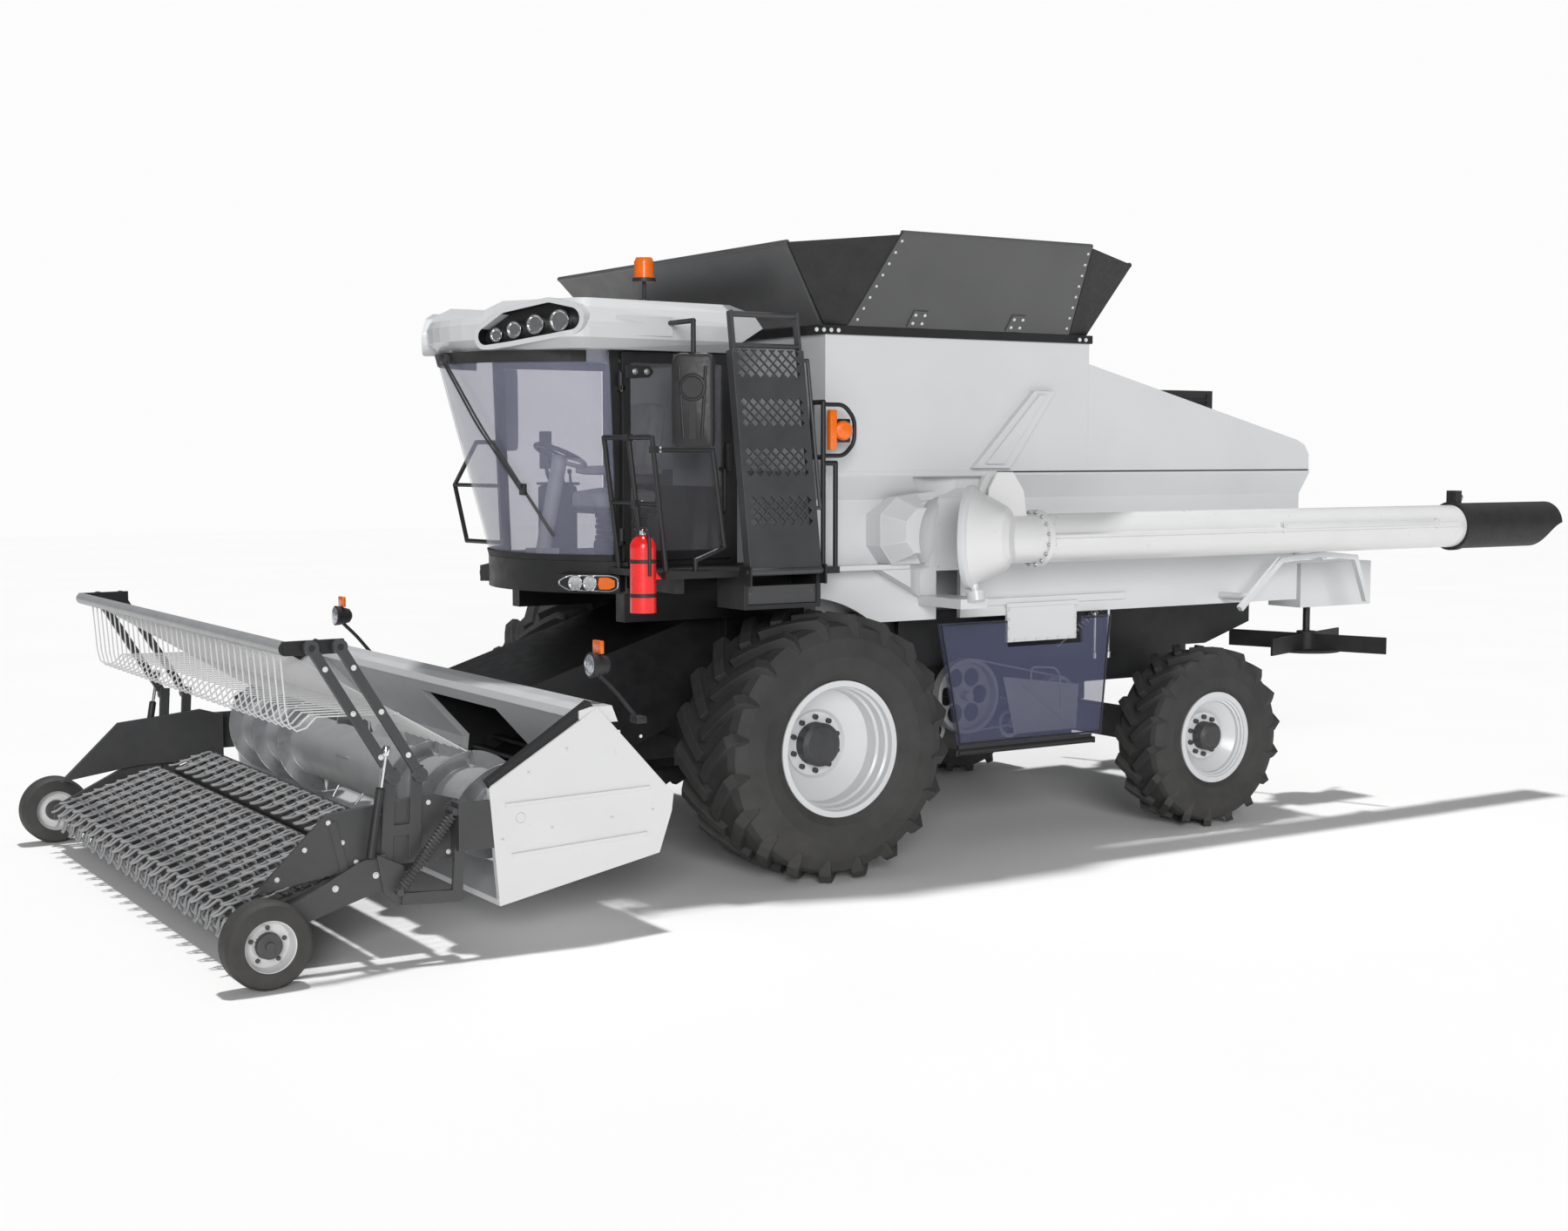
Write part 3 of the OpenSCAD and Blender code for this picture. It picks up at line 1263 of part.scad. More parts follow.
module pickup_belts() {
  color([0.12, 0.12, 0.12]) at_axle() {
    belt_loop(belt_a, belt_b, 70);
    tine_rows(belt_a, belt_b, 70, 6);
    belt_loop(belt_c, belt_d, 50);
    tine_rows(belt_c, belt_d, 50, 2);
  }
}
tine_n = 28;
belt_a = [4100, 262];
belt_b = [3440, 470];
belt_c = [3290, 500];
belt_d = [3040, 580];

guard_pin = 40;

module guard_bars(x) {
  low = [x, bar_z];
  high = [x + bar_dx, bar_z + bar_dz];
  at_axle() mirror_y() difference() {
    union() {
      side_plate(band([low, high], 56), guard_y - 18, guard_y + 18);
      for (p = [low, high]) {
        rod([p[0], guard_y - 22, p[1]], [p[0], guard_y + 22, p[1]], 84);
      }
    }
    for (p = [low, high]) {
      rod([p[0], guard_y - 30, p[1]], [p[0], guard_y + 30, p[1]], guard_pin);
    }
  }
}

module guard_front_arms() { color([0.5, 0.51, 0.52]) guard_bars(bar_front_x); }
module guard_rear_arms() { color([0.5, 0.51, 0.52]) guard_bars(bar_rear_x); }

// Wire paths in X and Z: the hooked front curtain and the straight comb behind it.
curtain = [[guard_x - 30, guard_z - 10], [3893, 1468], [3874, 1385], [3830, 1345], [3775, 1360],
  [3716, 1418], [3220, 1406]];
comb = [[guard_x - 20, guard_z - 15], [2800, 1150]];

module windguard() {
  span = 2*(pick_y - 140);
  high = [bar_rear_x + bar_dx, bar_z + bar_dz];
  color([0.2, 0.2, 0.21]) at_axle() {
    rod([guard_x, -pick_y - 50, guard_z], [guard_x, pick_y + 50, guard_z], guard_tube_d);
    mirror_y() {
      side_plate([[guard_x, guard_z - 40], [guard_x + 20, guard_z + 40], high + [-40, 40], high - [40,
        40]],
        guard_y - 60, guard_y - 30);
      for (x = [bar_front_x, bar_rear_x]) {
        rod([x + bar_dx, guard_y - 50, high[1]], [x + bar_dx, guard_y + 22, high[1]],
          guard_pin - 2*pin_play);
      }
    }
    for (i = [0 : wire_n - 1]) {
      y = (i - (wire_n - 1)/2)*span/(wire_n - 1);
      side_plate(band(curtain, wire_d), y - wire_d/2, y + wire_d/2);
      side_plate(band(comb, wire_d), y - wire_d/2, y + wire_d/2);
    }
  }
}

main_frame();
separator();
straw_hood();
front_axle();
rear_axle();
engine();
drive_pulleys();
grain_tank();
tank_rail();
tank_flaps();
flap_corners();
panel_left();
panel_right();
engine_hood();
air_intake();
auger_boot();
auger_rest();
cab_base();
cab_frame();
cab_glass();
cab_roof();
roof_lamps();
seat();
steering();
platform();
handrails();
mirrors();
beacon();
extinguisher();
spreader_drives();
front_tyre_left();
front_rim_left();
front_tyre_right();
front_rim_right();
knuckle_left();
knuckle_right();
tie_rod();
rear_tyre_left();
rear_rim_left();
rear_tyre_right();
rear_rim_right();
feeder_house();
lift_barrels();
lift_rods();
header_trough();
header_auger();
pickup_frame();
pickup_belts();
gauge_wheel_left();
gauge_wheel_right();
guard_front_arms();
guard_rear_arms();
windguard();
unload_tube();
unload_spout();
cab_door();
ladder();
drive_shield();
spreader_left();
spreader_right();
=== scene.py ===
"""Looks of the combine harvester: materials, small hardware, cab trim, seat cushions, light and camera."""
import json
import math

import bmesh
import bpy
from mathutils import Matrix, Vector


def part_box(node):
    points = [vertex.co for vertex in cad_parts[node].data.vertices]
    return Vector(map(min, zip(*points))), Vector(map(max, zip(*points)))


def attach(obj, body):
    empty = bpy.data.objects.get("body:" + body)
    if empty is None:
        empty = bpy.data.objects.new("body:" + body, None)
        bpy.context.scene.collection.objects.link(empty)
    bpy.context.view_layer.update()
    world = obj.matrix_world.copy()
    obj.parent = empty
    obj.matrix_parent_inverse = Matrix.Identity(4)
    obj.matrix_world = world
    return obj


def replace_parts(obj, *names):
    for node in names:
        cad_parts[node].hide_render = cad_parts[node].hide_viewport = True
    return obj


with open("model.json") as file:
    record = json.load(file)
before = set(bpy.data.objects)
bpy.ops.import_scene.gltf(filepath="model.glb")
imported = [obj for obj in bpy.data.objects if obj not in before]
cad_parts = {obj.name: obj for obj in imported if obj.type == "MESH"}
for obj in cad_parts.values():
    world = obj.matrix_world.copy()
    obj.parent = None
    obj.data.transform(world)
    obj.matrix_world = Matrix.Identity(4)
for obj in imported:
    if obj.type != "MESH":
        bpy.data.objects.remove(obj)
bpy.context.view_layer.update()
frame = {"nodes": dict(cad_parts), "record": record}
NODES = frame["nodes"]
lo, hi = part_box("front_rim_left")
AXLE_X = (lo.x + hi.x)/2


def P(x, y, z):
    """A point given from the front axle, in metres."""
    return Vector((AXLE_X + x, y, z))


def flip(p, s):
    """The same point or direction on the left side (s = 1) or the right side (s = -1)."""
    return Vector((p.x, s*p.y, p.z))


# Places that several pieces share, in metres from the front axle.
SIDES = (1, -1)
LEFT = Vector((0, 1, 0))
UP = Vector((0, 0, 1))
BODY_Y = 1.55
RAIL_TOP = 3.78
FLAP_OUT, FLAP_RISE = 0.40, 0.605
CAB_FLOOR, CAB_TOP = 2.17, 3.6
TUBE_Y, TUBE_Z = 1.900, 2.300
AUGER_AXIS = P(2.6, 0, 0.78)
GUARD_AXIS = P(3.95, 0, 1.833)
GUARD_TUBE_R = 0.043
BELT_BACK, BELT_FRONT, BELT_R = P(3.44, 0, 0.47), P(4.1, 0, 0.262), 0.0705
TRANSFER_BACK, TRANSFER_FRONT, TRANSFER_R = P(3.04, 0, 0.58), P(3.29, 0, 0.5), 0.0505

# Camera at the photograph's angle.
CAMERA_AT = Vector((9.0585, 13.018, 2.911))
cam_data = bpy.data.cameras.new("camera")
cam_data.lens = 46.0
cam_data.sensor_width = 36.0
cam_data.clip_end = 200
cam = bpy.data.objects.new("camera", cam_data)
bpy.context.scene.collection.objects.link(cam)
back = Vector((0.5373, 0.8395, 0.0810)).normalized()
right = Vector((-0.8423, 0.5391, 0)).normalized()
up = back.cross(right).normalized()
right = up.cross(back).normalized()
cam.matrix_world = Matrix.Translation(CAMERA_AT) @ Matrix((right, up, back)).transposed().to_4x4()
bpy.context.scene.camera = cam


# Materials
def new_material(name):
    m = bpy.data.materials.new(name)
    m.use_nodes = True
    return m, m.node_tree.nodes, m.node_tree.links, m.node_tree.nodes["Principled BSDF"]


def noise(nodes, links, coord, scale, detail=4.0):
    n = nodes.new("ShaderNodeTexNoise")
    n.inputs["Scale"].default_value = scale
    n.inputs["Detail"].default_value = detail
    links.new(coord, n.inputs["Vector"])
    return n.outputs["Fac"]


def ramp(nodes, links, fac, stops):
    r = nodes.new("ShaderNodeValToRGB")
    while len(r.color_ramp.elements) < len(stops):
        r.color_ramp.elements.new(0.5)
    for e, (pos, col) in zip(r.color_ramp.elements, stops):
        e.position = pos
        e.color = (*col, 1)
    links.new(fac, r.inputs["Fac"])
    return r.outputs["Color"]


def map_range(nodes, links, value, source, target):
    """Maps a value from one range to another, clamped."""
    r = nodes.new("ShaderNodeMapRange")
    r.inputs["From Min"].default_value, r.inputs["From Max"].default_value = source
    r.inputs["To Min"].default_value, r.inputs["To Max"].default_value = target
    links.new(value, r.inputs["Value"])
    return r.outputs["Result"]


def span(nodes, links, fac, a, b):
    """A noise value spread over a range."""
    return map_range(nodes, links, fac, (0.3, 0.7), (a, b))


def blend_colour(nodes, links, fac, a, b):
    m = nodes.new("ShaderNodeMix")
    m.data_type = "RGBA"
    links.new(fac, m.inputs["Factor"])
    links.new(a, m.inputs[6])
    m.inputs[7].default_value = (*b, 1)
    return m.outputs[2]


def shade(col, k):
    return tuple(min(1.0, c*k) for c in col)


DUST = (0.36, 0.33, 0.29)
DUST_TOP = 1.1


def surface(name, col, rough=0.45, metal=0.0, vary=0.06, scale=6.0, grain=400.0, bump=0.04, edge=None,
            dust=0.0, round_edge=0.004, coat=0.0, fine=None):
    """A surface with uneven colour, uneven gloss, a fine grain, worn or bright edges and dust low down."""
    m, nodes, links, bsdf = new_material(name)
    coord = nodes.new("ShaderNodeTexCoord").outputs["Object"]
    broad = noise(nodes, links, coord, scale)
    stops = [(0.3, shade(col, 1 - vary)), (0.5, col), (0.7, shade(col, 1 + 0.6*vary))]
    colour = ramp(nodes, links, broad, stops)
    bevel = nodes.new("ShaderNodeBevel")
    bevel.samples = 4
    bevel.inputs["Radius"].default_value = round_edge
    if edge:
        geometry = nodes.new("ShaderNodeNewGeometry")
        dot = nodes.new("ShaderNodeVectorMath")
        dot.operation = "DOT_PRODUCT"
        links.new(bevel.outputs["Normal"], dot.inputs[0])
        links.new(geometry.outputs["Normal"], dot.inputs[1])
        wear = map_range(nodes, links, dot.outputs["Value"], (0.985, 0.90), (0.0, 0.75))
        colour = blend_colour(nodes, links, wear, colour, edge)
    if dust:
        parts = nodes.new("ShaderNodeSeparateXYZ")
        links.new(coord, parts.inputs[0])
        patch = nodes.new("ShaderNodeMath")
        patch.operation = "MULTIPLY"
        links.new(map_range(nodes, links, parts.outputs["Z"], (DUST_TOP, 0.0), (0.0, dust)), patch.inputs[0])
        links.new(noise(nodes, links, coord, 14.0, 8.0), patch.inputs[1])
        colour = blend_colour(nodes, links, patch.outputs[0], colour, DUST)
    links.new(colour, bsdf.inputs["Base Color"])
    links.new(span(nodes, links, noise(nodes, links, coord, scale*4), rough - 0.07, rough + 0.07),
              bsdf.inputs["Roughness"])
    b = nodes.new("ShaderNodeBump")
    b.inputs["Strength"].default_value = bump
    b.inputs["Distance"].default_value = 0.002
    height = fine(nodes, links, coord) if fine else noise(nodes, links, coord, grain, 2.0)
    links.new(height, b.inputs["Height"])
    links.new(bevel.outputs["Normal"], b.inputs["Normal"])
    links.new(b.outputs["Normal"], bsdf.inputs["Normal"])
    bsdf.inputs["Metallic"].default_value = metal
    bsdf.inputs["Coat Weight"].default_value = coat
    bsdf.inputs["Coat Roughness"].default_value = 0.12
    return m


def weave(nodes, links, coord):
    w = nodes.new("ShaderNodeTexWave")
    w.wave_type = "BANDS"
    w.bands_direction = "DIAGONAL"
    w.inputs["Scale"].default_value = 120.0
    w.inputs["Distortion"].default_value = 1.5
    links.new(coord, w.inputs["Vector"])
    return w.outputs["Fac"]


# Finish of each opaque material; "bright" is a lighter copy of the light paint, which is painted light.
LOOKS = {
    "light_paint": dict(col=(0.66, 0.67, 0.68), rough=0.36, vary=0.025, scale=1.4, grain=500, bump=0.02,
                        edge=(0.76, 0.76, 0.76), dust=0.08, coat=0.25),
    "dark_paint": dict(col=(0.014, 0.0143, 0.0155), rough=0.42, vary=0.20, scale=3, grain=500, bump=0.05,
                       edge=(0.07, 0.07, 0.073), dust=0.10),
    "grey_paint": dict(col=(0.054, 0.055, 0.0575), rough=0.42, vary=0.12, scale=3, grain=500, bump=0.05,
                       edge=(0.17, 0.17, 0.174), dust=0.10),
    "flap_grey": dict(col=(0.082, 0.083, 0.085), rough=0.40, vary=0.12, scale=2, grain=500, bump=0.04,
                      edge=(0.17, 0.17, 0.173)),
    "tyre": dict(col=(0.036, 0.0357, 0.0352), rough=0.72, vary=0.22, scale=5, grain=260, bump=0.16,
                 edge=(0.055, 0.0545, 0.0538), dust=0.09, round_edge=0.010),
    "rubber": dict(col=(0.018, 0.018, 0.019), rough=0.62, vary=0.25, scale=8, grain=350, bump=0.12,
                   edge=(0.045, 0.045, 0.045), dust=0.12),
    "cast": dict(col=(0.045, 0.046, 0.049), rough=0.55, metal=0.1, vary=0.25, scale=9, grain=160, bump=0.20,
                 edge=(0.13, 0.13, 0.13), dust=0.2, round_edge=0.006),
    "fabric": dict(col=(0.090, 0.096, 0.110), rough=0.88, vary=0.18, scale=18, bump=0.35, round_edge=0.002,
                   fine=weave),
    "plastic": dict(col=(0.022, 0.022, 0.024), rough=0.48, vary=0.15, scale=8, grain=700, bump=0.10,
                    edge=(0.06, 0.06, 0.06)),
    "steel": dict(col=(0.50, 0.51, 0.52), rough=0.34, metal=0.85, vary=0.10, scale=9, grain=350, bump=0.08,
                  edge=(0.72, 0.72, 0.72), dust=0.15),
    "chrome": dict(col=(0.78, 0.79, 0.80), rough=0.12, metal=1.0, vary=0.03, grain=300, bump=0.01,
                   edge=(0.85, 0.85, 0.85)),
    "red": dict(col=(0.93, 0.012, 0.012), rough=0.30, vary=0.10, grain=500, bump=0.02,
                edge=(0.84, 0.05, 0.04), coat=0.4),
    "amber": dict(col=(0.88, 0.16, 0.006), rough=0.26, vary=0.12, scale=10, grain=300, bump=0.03,
                  edge=(0.95, 0.30, 0.04), coat=0.35),
    # Lighter copy of the light paint, painted light: the lit unloading tube and header end plates get it in
    # place of shading, and the bolts, windguard and gauge wheel discs share it.
    "bright": dict(col=(0.71, 0.71, 0.71), rough=0.34, vary=0.02, scale=3, grain=500, bump=0.02,
                   edge=(0.78, 0.78, 0.78), dust=0.05, coat=0.2),
    "seat_grey": dict(col=(0.40, 0.41, 0.44), rough=0.85, vary=0.12, scale=18, bump=0.10, round_edge=0.002,
                      fine=weave),
    "pale_plastic": dict(col=(0.42, 0.43, 0.45), rough=0.50, scale=8, grain=700, bump=0.08,
                         edge=(0.55, 0.55, 0.56)),
    "tube_grey": dict(col=(0.36, 0.365, 0.37), rough=0.40, metal=0.2, vary=0.08, scale=9, grain=300,
                      bump=0.05, edge=(0.5, 0.5, 0.5)),
    "finger_grey": dict(col=(0.27, 0.272, 0.278), rough=0.46, vary=0.12, scale=9, grain=500, bump=0.06,
                        edge=(0.42, 0.42, 0.42)),
    "black": dict(col=(0.006, 0.006, 0.0065), rough=0.50, vary=0.20, scale=8, grain=500, bump=0.06,
                  edge=(0.02, 0.02, 0.02)),
}
M = {name: surface(name, **look) for name, look in LOOKS.items()}


def clear(name, col, alpha, rough, streak):
    """Thin tinted pane: faint streaks in tint and gloss."""
    m, nodes, links, bsdf = new_material(name)
    coord = nodes.new("ShaderNodeTexCoord").outputs["Object"]
    streaks = noise(nodes, links, coord, streak, 3.0)
    links.new(ramp(nodes, links, streaks, [(0.3, shade(col, 0.93)), (0.7, shade(col, 1.05))]),
              bsdf.inputs["Base Color"])
    links.new(span(nodes, links, noise(nodes, links, coord, 9.0), rough*0.6, rough*1.5),
              bsdf.inputs["Roughness"])
    bsdf.inputs["Alpha"].default_value = alpha
    bsdf.inputs["IOR"].default_value = 1.45
    return m


M["glass"] = clear("glass", (0.33, 0.345, 0.46), 0.27, 0.05, 1.2)
M["door_glass"] = clear("door_glass", (0.15, 0.15, 0.16), 0.32, 0.05, 1.2)
M["shield"] = clear("shield", (0.09, 0.10, 0.19), 0.38, 0.10, 1.6)


def lens_material():
    """Lamp lens: fluted clear cover over a bright bowl."""
    m, nodes, links, bsdf = new_material("lens")
    coord = nodes.new("ShaderNodeTexCoord").outputs["Object"]
    cells = nodes.new("ShaderNodeTexVoronoi")
    cells.inputs["Scale"].default_value = 60.0
    links.new(coord, cells.inputs["Vector"])
    bowl = [(0.0, (0.75, 0.78, 0.82)), (0.6, (0.30, 0.32, 0.36))]
    links.new(ramp(nodes, links, cells.outputs["Distance"], bowl), bsdf.inputs["Base Color"])
    links.new(span(nodes, links, noise(nodes, links, coord, 30.0), 0.08, 0.2), bsdf.inputs["Roughness"])
    b = nodes.new("ShaderNodeBump")
    b.inputs["Strength"].default_value = 0.4
    b.inputs["Distance"].default_value = 0.003
    links.new(cells.outputs["Distance"], b.inputs["Height"])
    links.new(b.outputs["Normal"], bsdf.inputs["Normal"])
    bsdf.inputs["Metallic"].default_value = 0.55
    bsdf.inputs["Coat Weight"].default_value = 0.8
    bsdf.inputs["Coat Roughness"].default_value = 0.05
    return m


M["lens"] = lens_material()
for sub in frame["record"]["subparts"]:
    obj = NODES.get(sub["node"])
    if obj:
        obj.data.materials.clear()
        obj.data.materials.append(M[sub["material_slot"]])


def paint(node, rules):
    """Gives faces of one CAD node other materials: rules are (slot, test of face centre and normal)."""
    mesh = NODES[node].data
    first = len(mesh.materials)
    for slot, _ in rules:
        mesh.materials.append(M[slot])
    for face in mesh.polygons:
        for i, (_, test) in enumerate(rules):
            if test(face.center, face.normal):
                face.material_index = first + i
                break


def off_axis(c, centre):
    """Distance from an axis that runs across the machine."""
    return math.hypot(c.x - centre.x, c.z - centre.z)


# Faces of CAD nodes in a second colour.
HUBS = {"front": (0.152, 0.024), "rear": (0.112, 0.064)}
BOLT_RING = 0.056
for side, s in zip(("left", "right"), SIDES):
    for axle, (hub, face_out) in HUBS.items():
        lo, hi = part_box(f"{axle}_rim_{side}")
        mid = (lo + hi)/2
        face_y = mid.y + s*face_out
        paint(f"{axle}_rim_{side}", [
            ("cast", lambda c, n, m=mid, h=hub: off_axis(c, m) < h),
            ("cast", lambda c, n, m=mid, h=hub, f=face_y, o=s:
                off_axis(c, m) < h + BOLT_RING and o*(c.y - f) > 0.001)])
    lo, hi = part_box(f"gauge_wheel_{side}")
    mid = (lo + hi)/2
    paint(f"gauge_wheel_{side}", [("cast", lambda c, n, m=mid: off_axis(c, m) < 0.075),
                                  ("bright", lambda c, n, m=mid: off_axis(c, m) < 0.144)])

POD = Matrix.Translation(P(1.755, 0.8, 3.75)) @ Matrix.Rotation(math.radians(31), 4, "Z")
POD = POD @ Matrix.Rotation(math.radians(6), 4, "X")
POD_INV = POD.inverted()
POD_ROUNDS = ((-0.33, -0.028, 0.058), (-0.15, 0.012, 0.098), (0.18, 0.028, 0.100), (0.345, 0.002, 0.074))


def in_pod(c):
    """Whether a face lies in a lamp pod's recess: on its floor or on its wall."""
    p = POD_INV @ Vector((c.x, abs(c.y), c.z))
    if not -0.075 < p.x < 0.024:
        return False
    for (y0, z0, r0), (y1, z1, r1) in zip(POD_ROUNDS, POD_ROUNDS[1:]):
        f = min(1, max(0, (p.y - y0)/(y1 - y0)))
        if math.hypot(p.y - y0 - (y1 - y0)*f, p.z - z0 - (z1 - z0)*f) < r0 + (r1 - r0)*f + 0.004:
            return True
    return False


def belt_up(rear, front):
    """Upward normal of a belt's top run."""
    normal = (front - rear).normalized().cross(LEFT)
    return normal if normal.z > 0 else -normal


BELT_UP = belt_up(BELT_BACK, BELT_FRONT)
TRANSFER_UP = belt_up(TRANSFER_BACK, TRANSFER_FRONT)
BELT_GAP_X = AXLE_X + 3.37
SPRING_FOOT, SPRING_TOP = P(3.345, 2.38, 0.42), P(3.002, 2.38, 0.85)
STRUT_FOOT, STRUT_TOP = P(2.786, 0, 0.985), P(2.12, 0, 1.414)


def on_belt_slat(c, n):
    if c.x > BELT_GAP_X:
        return BELT_UP.dot(c - BELT_FRONT) > BELT_R + 0.001
    return c.x < BELT_GAP_X and TRANSFER_UP.dot(c - TRANSFER_FRONT) > TRANSFER_R + 0.001


def near_spring(c, n):
    p = Vector((c.x, abs(c.y), c.z)) - SPRING_FOOT
    axis = (SPRING_TOP - SPRING_FOOT).normalized()
    h = p.dot(axis)
    return 0.03 < h < 0.52 and (p - axis*h).length < 0.038


def near_strut(c, n):
    axis = (STRUT_TOP - STRUT_FOOT).normalized()
    p = Vector((c.x, 0, c.z)) - STRUT_FOOT
    return 2.323 < abs(c.y) < 2.397 and abs(p.x*axis.z - p.z*axis.x) < 0.027


def in_door_pane(c, n):
    return AXLE_X + 0.365 < c.x < AXLE_X + 1.085 and 2.245 < c.z < 3.515 and abs(n.y) > 0.9


def on_guard_tube(c):
    return off_axis(c, GUARD_AXIS) <= GUARD_TUBE_R


paint("cab_roof", [("black", lambda c, n: in_pod(c))])
paint("beacon", [("plastic", lambda c, n: c.z < 4.0945)])
paint("extinguisher", [("chrome", lambda c, n: c.z > 2.386),
                       ("dark_paint", lambda c, n: c.x < AXLE_X + 1.27)])
# Painted light: the auger stub, the sideways faces of the header's end plates and the whole unloading tube
# take the lighter "bright" copy of the light paint.
paint("header_auger", [("bright", lambda c, n: abs(c.y) > 2.41),
                       ("tube_grey", lambda c, n: off_axis(c, AUGER_AXIS) < 0.212)])
paint("pickup_belts", [("steel", on_belt_slat)])
paint("windguard", [("tube_grey", lambda c, n: on_guard_tube(c) and abs(c.y) < 2.28),
                    ("bright", lambda c, n: not on_guard_tube(c) and abs(c.y) < 2.2)])
paint("pickup_frame", [("cast", near_spring)])
paint("header_trough", [("dark_paint", near_strut),
                        ("bright", lambda c, n: abs(c.y) > 2.40 and abs(n.y) > 0.9)])
paint("unload_tube", [("bright", lambda c, n: True)])
paint("unload_spout", [("plastic", lambda c, n: c.z > 2.48)])
paint("drive_shield", [("dark_paint", lambda c, n: c.z < 0.79)])
paint("cab_door", [("door_glass", in_door_pane)])
paint("drive_pulleys", [("tube_grey", lambda c, n: c.y > 1.19)])
paint("spreader_drives", [("dark_paint", lambda c, n: c.z < 1.618)])
paint("steering", [("pale_plastic", lambda c, n: c.z < 2.87)])


# Piece builder: gathers small hardware of one material on one body.
class Piece:
    def __init__(self, name, body, slot, material=None):
        self.name, self.body, self.slot = name, body, slot
        self.material = M[material or slot]
        self.bm = bmesh.new()

    def rings(self, loops):
        """Closed skin over a row of loops with the same number of points."""
        n = len(loops[0])
        made = [self.bm.verts.new(v) for loop in loops for v in loop]
        faces = [(r*n + i, r*n + (i + 1) % n, (r + 1)*n + (i + 1) % n, (r + 1)*n + i)
                 for r in range(len(loops) - 1) for i in range(n)]
        faces.append(tuple(reversed(range(n))))
        faces.append(tuple((len(loops) - 1)*n + i for i in range(n)))
        for f in faces:
            self.bm.faces.new([made[i] for i in f])

    def turned(self, base, axis, profile, sides=20):
        """Turned solid: profile of (distance along axis, radius) from base."""
        axis = axis.normalized()
        a = axis.orthogonal().normalized()
        b = axis.cross(a)
        self.rings([[base + axis*h + (a*math.cos(t) + b*math.sin(t))*r
                     for t in (2*math.pi*i/sides for i in range(sides))] for h, r in profile])

    def bolt(self, at, axis, r):
        """Washer, six-sided head with a chamfer."""
        self.turned(at, axis, [(-0.001, r*1.5), (r*0.25, r*1.5), (r*0.3, r*1.4)], 14)
        head = [(0, r*1.05), (r*0.75, r*1.05), (r*0.95, r*0.75)]
        self.turned(at + axis.normalized()*r*0.28, axis, head, 6)

    def sweep(self, points, r, sides=12, smooth=6):
        """Round bar along a path with rounded corners."""
        pts = round_path(points, smooth)
        loops = []
        axis = (pts[1] - pts[0]).normalized()
        a = axis.orthogonal().normalized()
        turns = [2*math.pi*j/sides for j in range(sides)]
        for i, p in enumerate(pts):
            t = (pts[min(i + 1, len(pts) - 1)] - pts[max(i - 1, 0)]).normalized()
            a = (a - t*a.dot(t)).normalized()
            b = t.cross(a)
            loops.append([p + (a*math.cos(k) + b*math.sin(k))*r for k in turns])
        self.rings(loops)

    def block(self, a, b, chamfer=0.004):
        """Box between two corners with chamfered edges."""
        bm = bmesh.new()
        size = b - a
        bmesh.ops.create_cube(bm, size=1)
        bmesh.ops.scale(bm, vec=size, verts=bm.verts)
        c = min(chamfer, 0.45*min(size))
        bmesh.ops.bevel(bm, geom=bm.edges[:], offset=c, segments=2, affect="EDGES", profile=0.5)
        bmesh.ops.transform(bm, matrix=Matrix.Translation((a + b)/2), verts=bm.verts)
        self.take(bm)

    def plate(self, outline, thick, chamfer=0.002):
        """Flat plate from an outline of points and a thickness vector."""
        bm = bmesh.new()
        base = [bm.verts.new(p) for p in outline]
        face = bm.faces.new(base)
        made = bmesh.ops.extrude_face_region(bm, geom=[face])
        lifted = [v for v in made["geom"] if isinstance(v, bmesh.types.BMVert)]
        bmesh.ops.translate(bm, vec=thick, verts=lifted)
        bmesh.ops.recalc_face_normals(bm, faces=bm.faces[:])
        c = min(chamfer, 0.4*thick.length)
        bmesh.ops.bevel(bm, geom=bm.edges[:], offset=c, segments=1, affect="EDGES")
        self.take(bm)

    def take(self, other):
        index = {v: self.bm.verts.new(v.co) for v in other.verts}
        for f in other.faces:
            self.bm.faces.new([index[v] for v in f.verts])
        other.free()

    def done(self):
        bmesh.ops.recalc_face_normals(self.bm, faces=self.bm.faces[:])
        mesh = bpy.data.meshes.new(self.name)
        self.bm.to_mesh(mesh)
        self.bm.free()
        obj = bpy.data.objects.new(self.name, mesh)
        bpy.context.scene.collection.objects.link(obj)
        mesh.materials.append(self.material)
        mesh.shade_smooth()
        mesh.set_sharp_from_angle(angle=math.radians(35))
        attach(obj, self.body)
        return obj


def round_path(points, smooth):
    """A path whose inner corners are replaced by short curves."""
    if smooth < 2 or len(points) < 3:
        return list(points)
    out = [points[0]]
    for i in range(1, len(points) - 1):
        a, p, b = points[i - 1], points[i], points[i + 1]
        r = 0.4*min((p - a).length, (b - p).length, 0.22)
        s = p + (a - p).normalized()*r
        e = p + (b - p).normalized()*r
        out += [s.lerp(p, k/smooth).lerp(p.lerp(e, k/smooth), k/smooth) for k in range(smooth + 1)]
    return out + [points[-1]]


def flap_axes(s):
    """Outward normal and upward direction of a side flap."""
    return Vector((0, FLAP_RISE*s, -FLAP_OUT)).normalized(), Vector((0, FLAP_OUT*s, FLAP_RISE)).normalized()


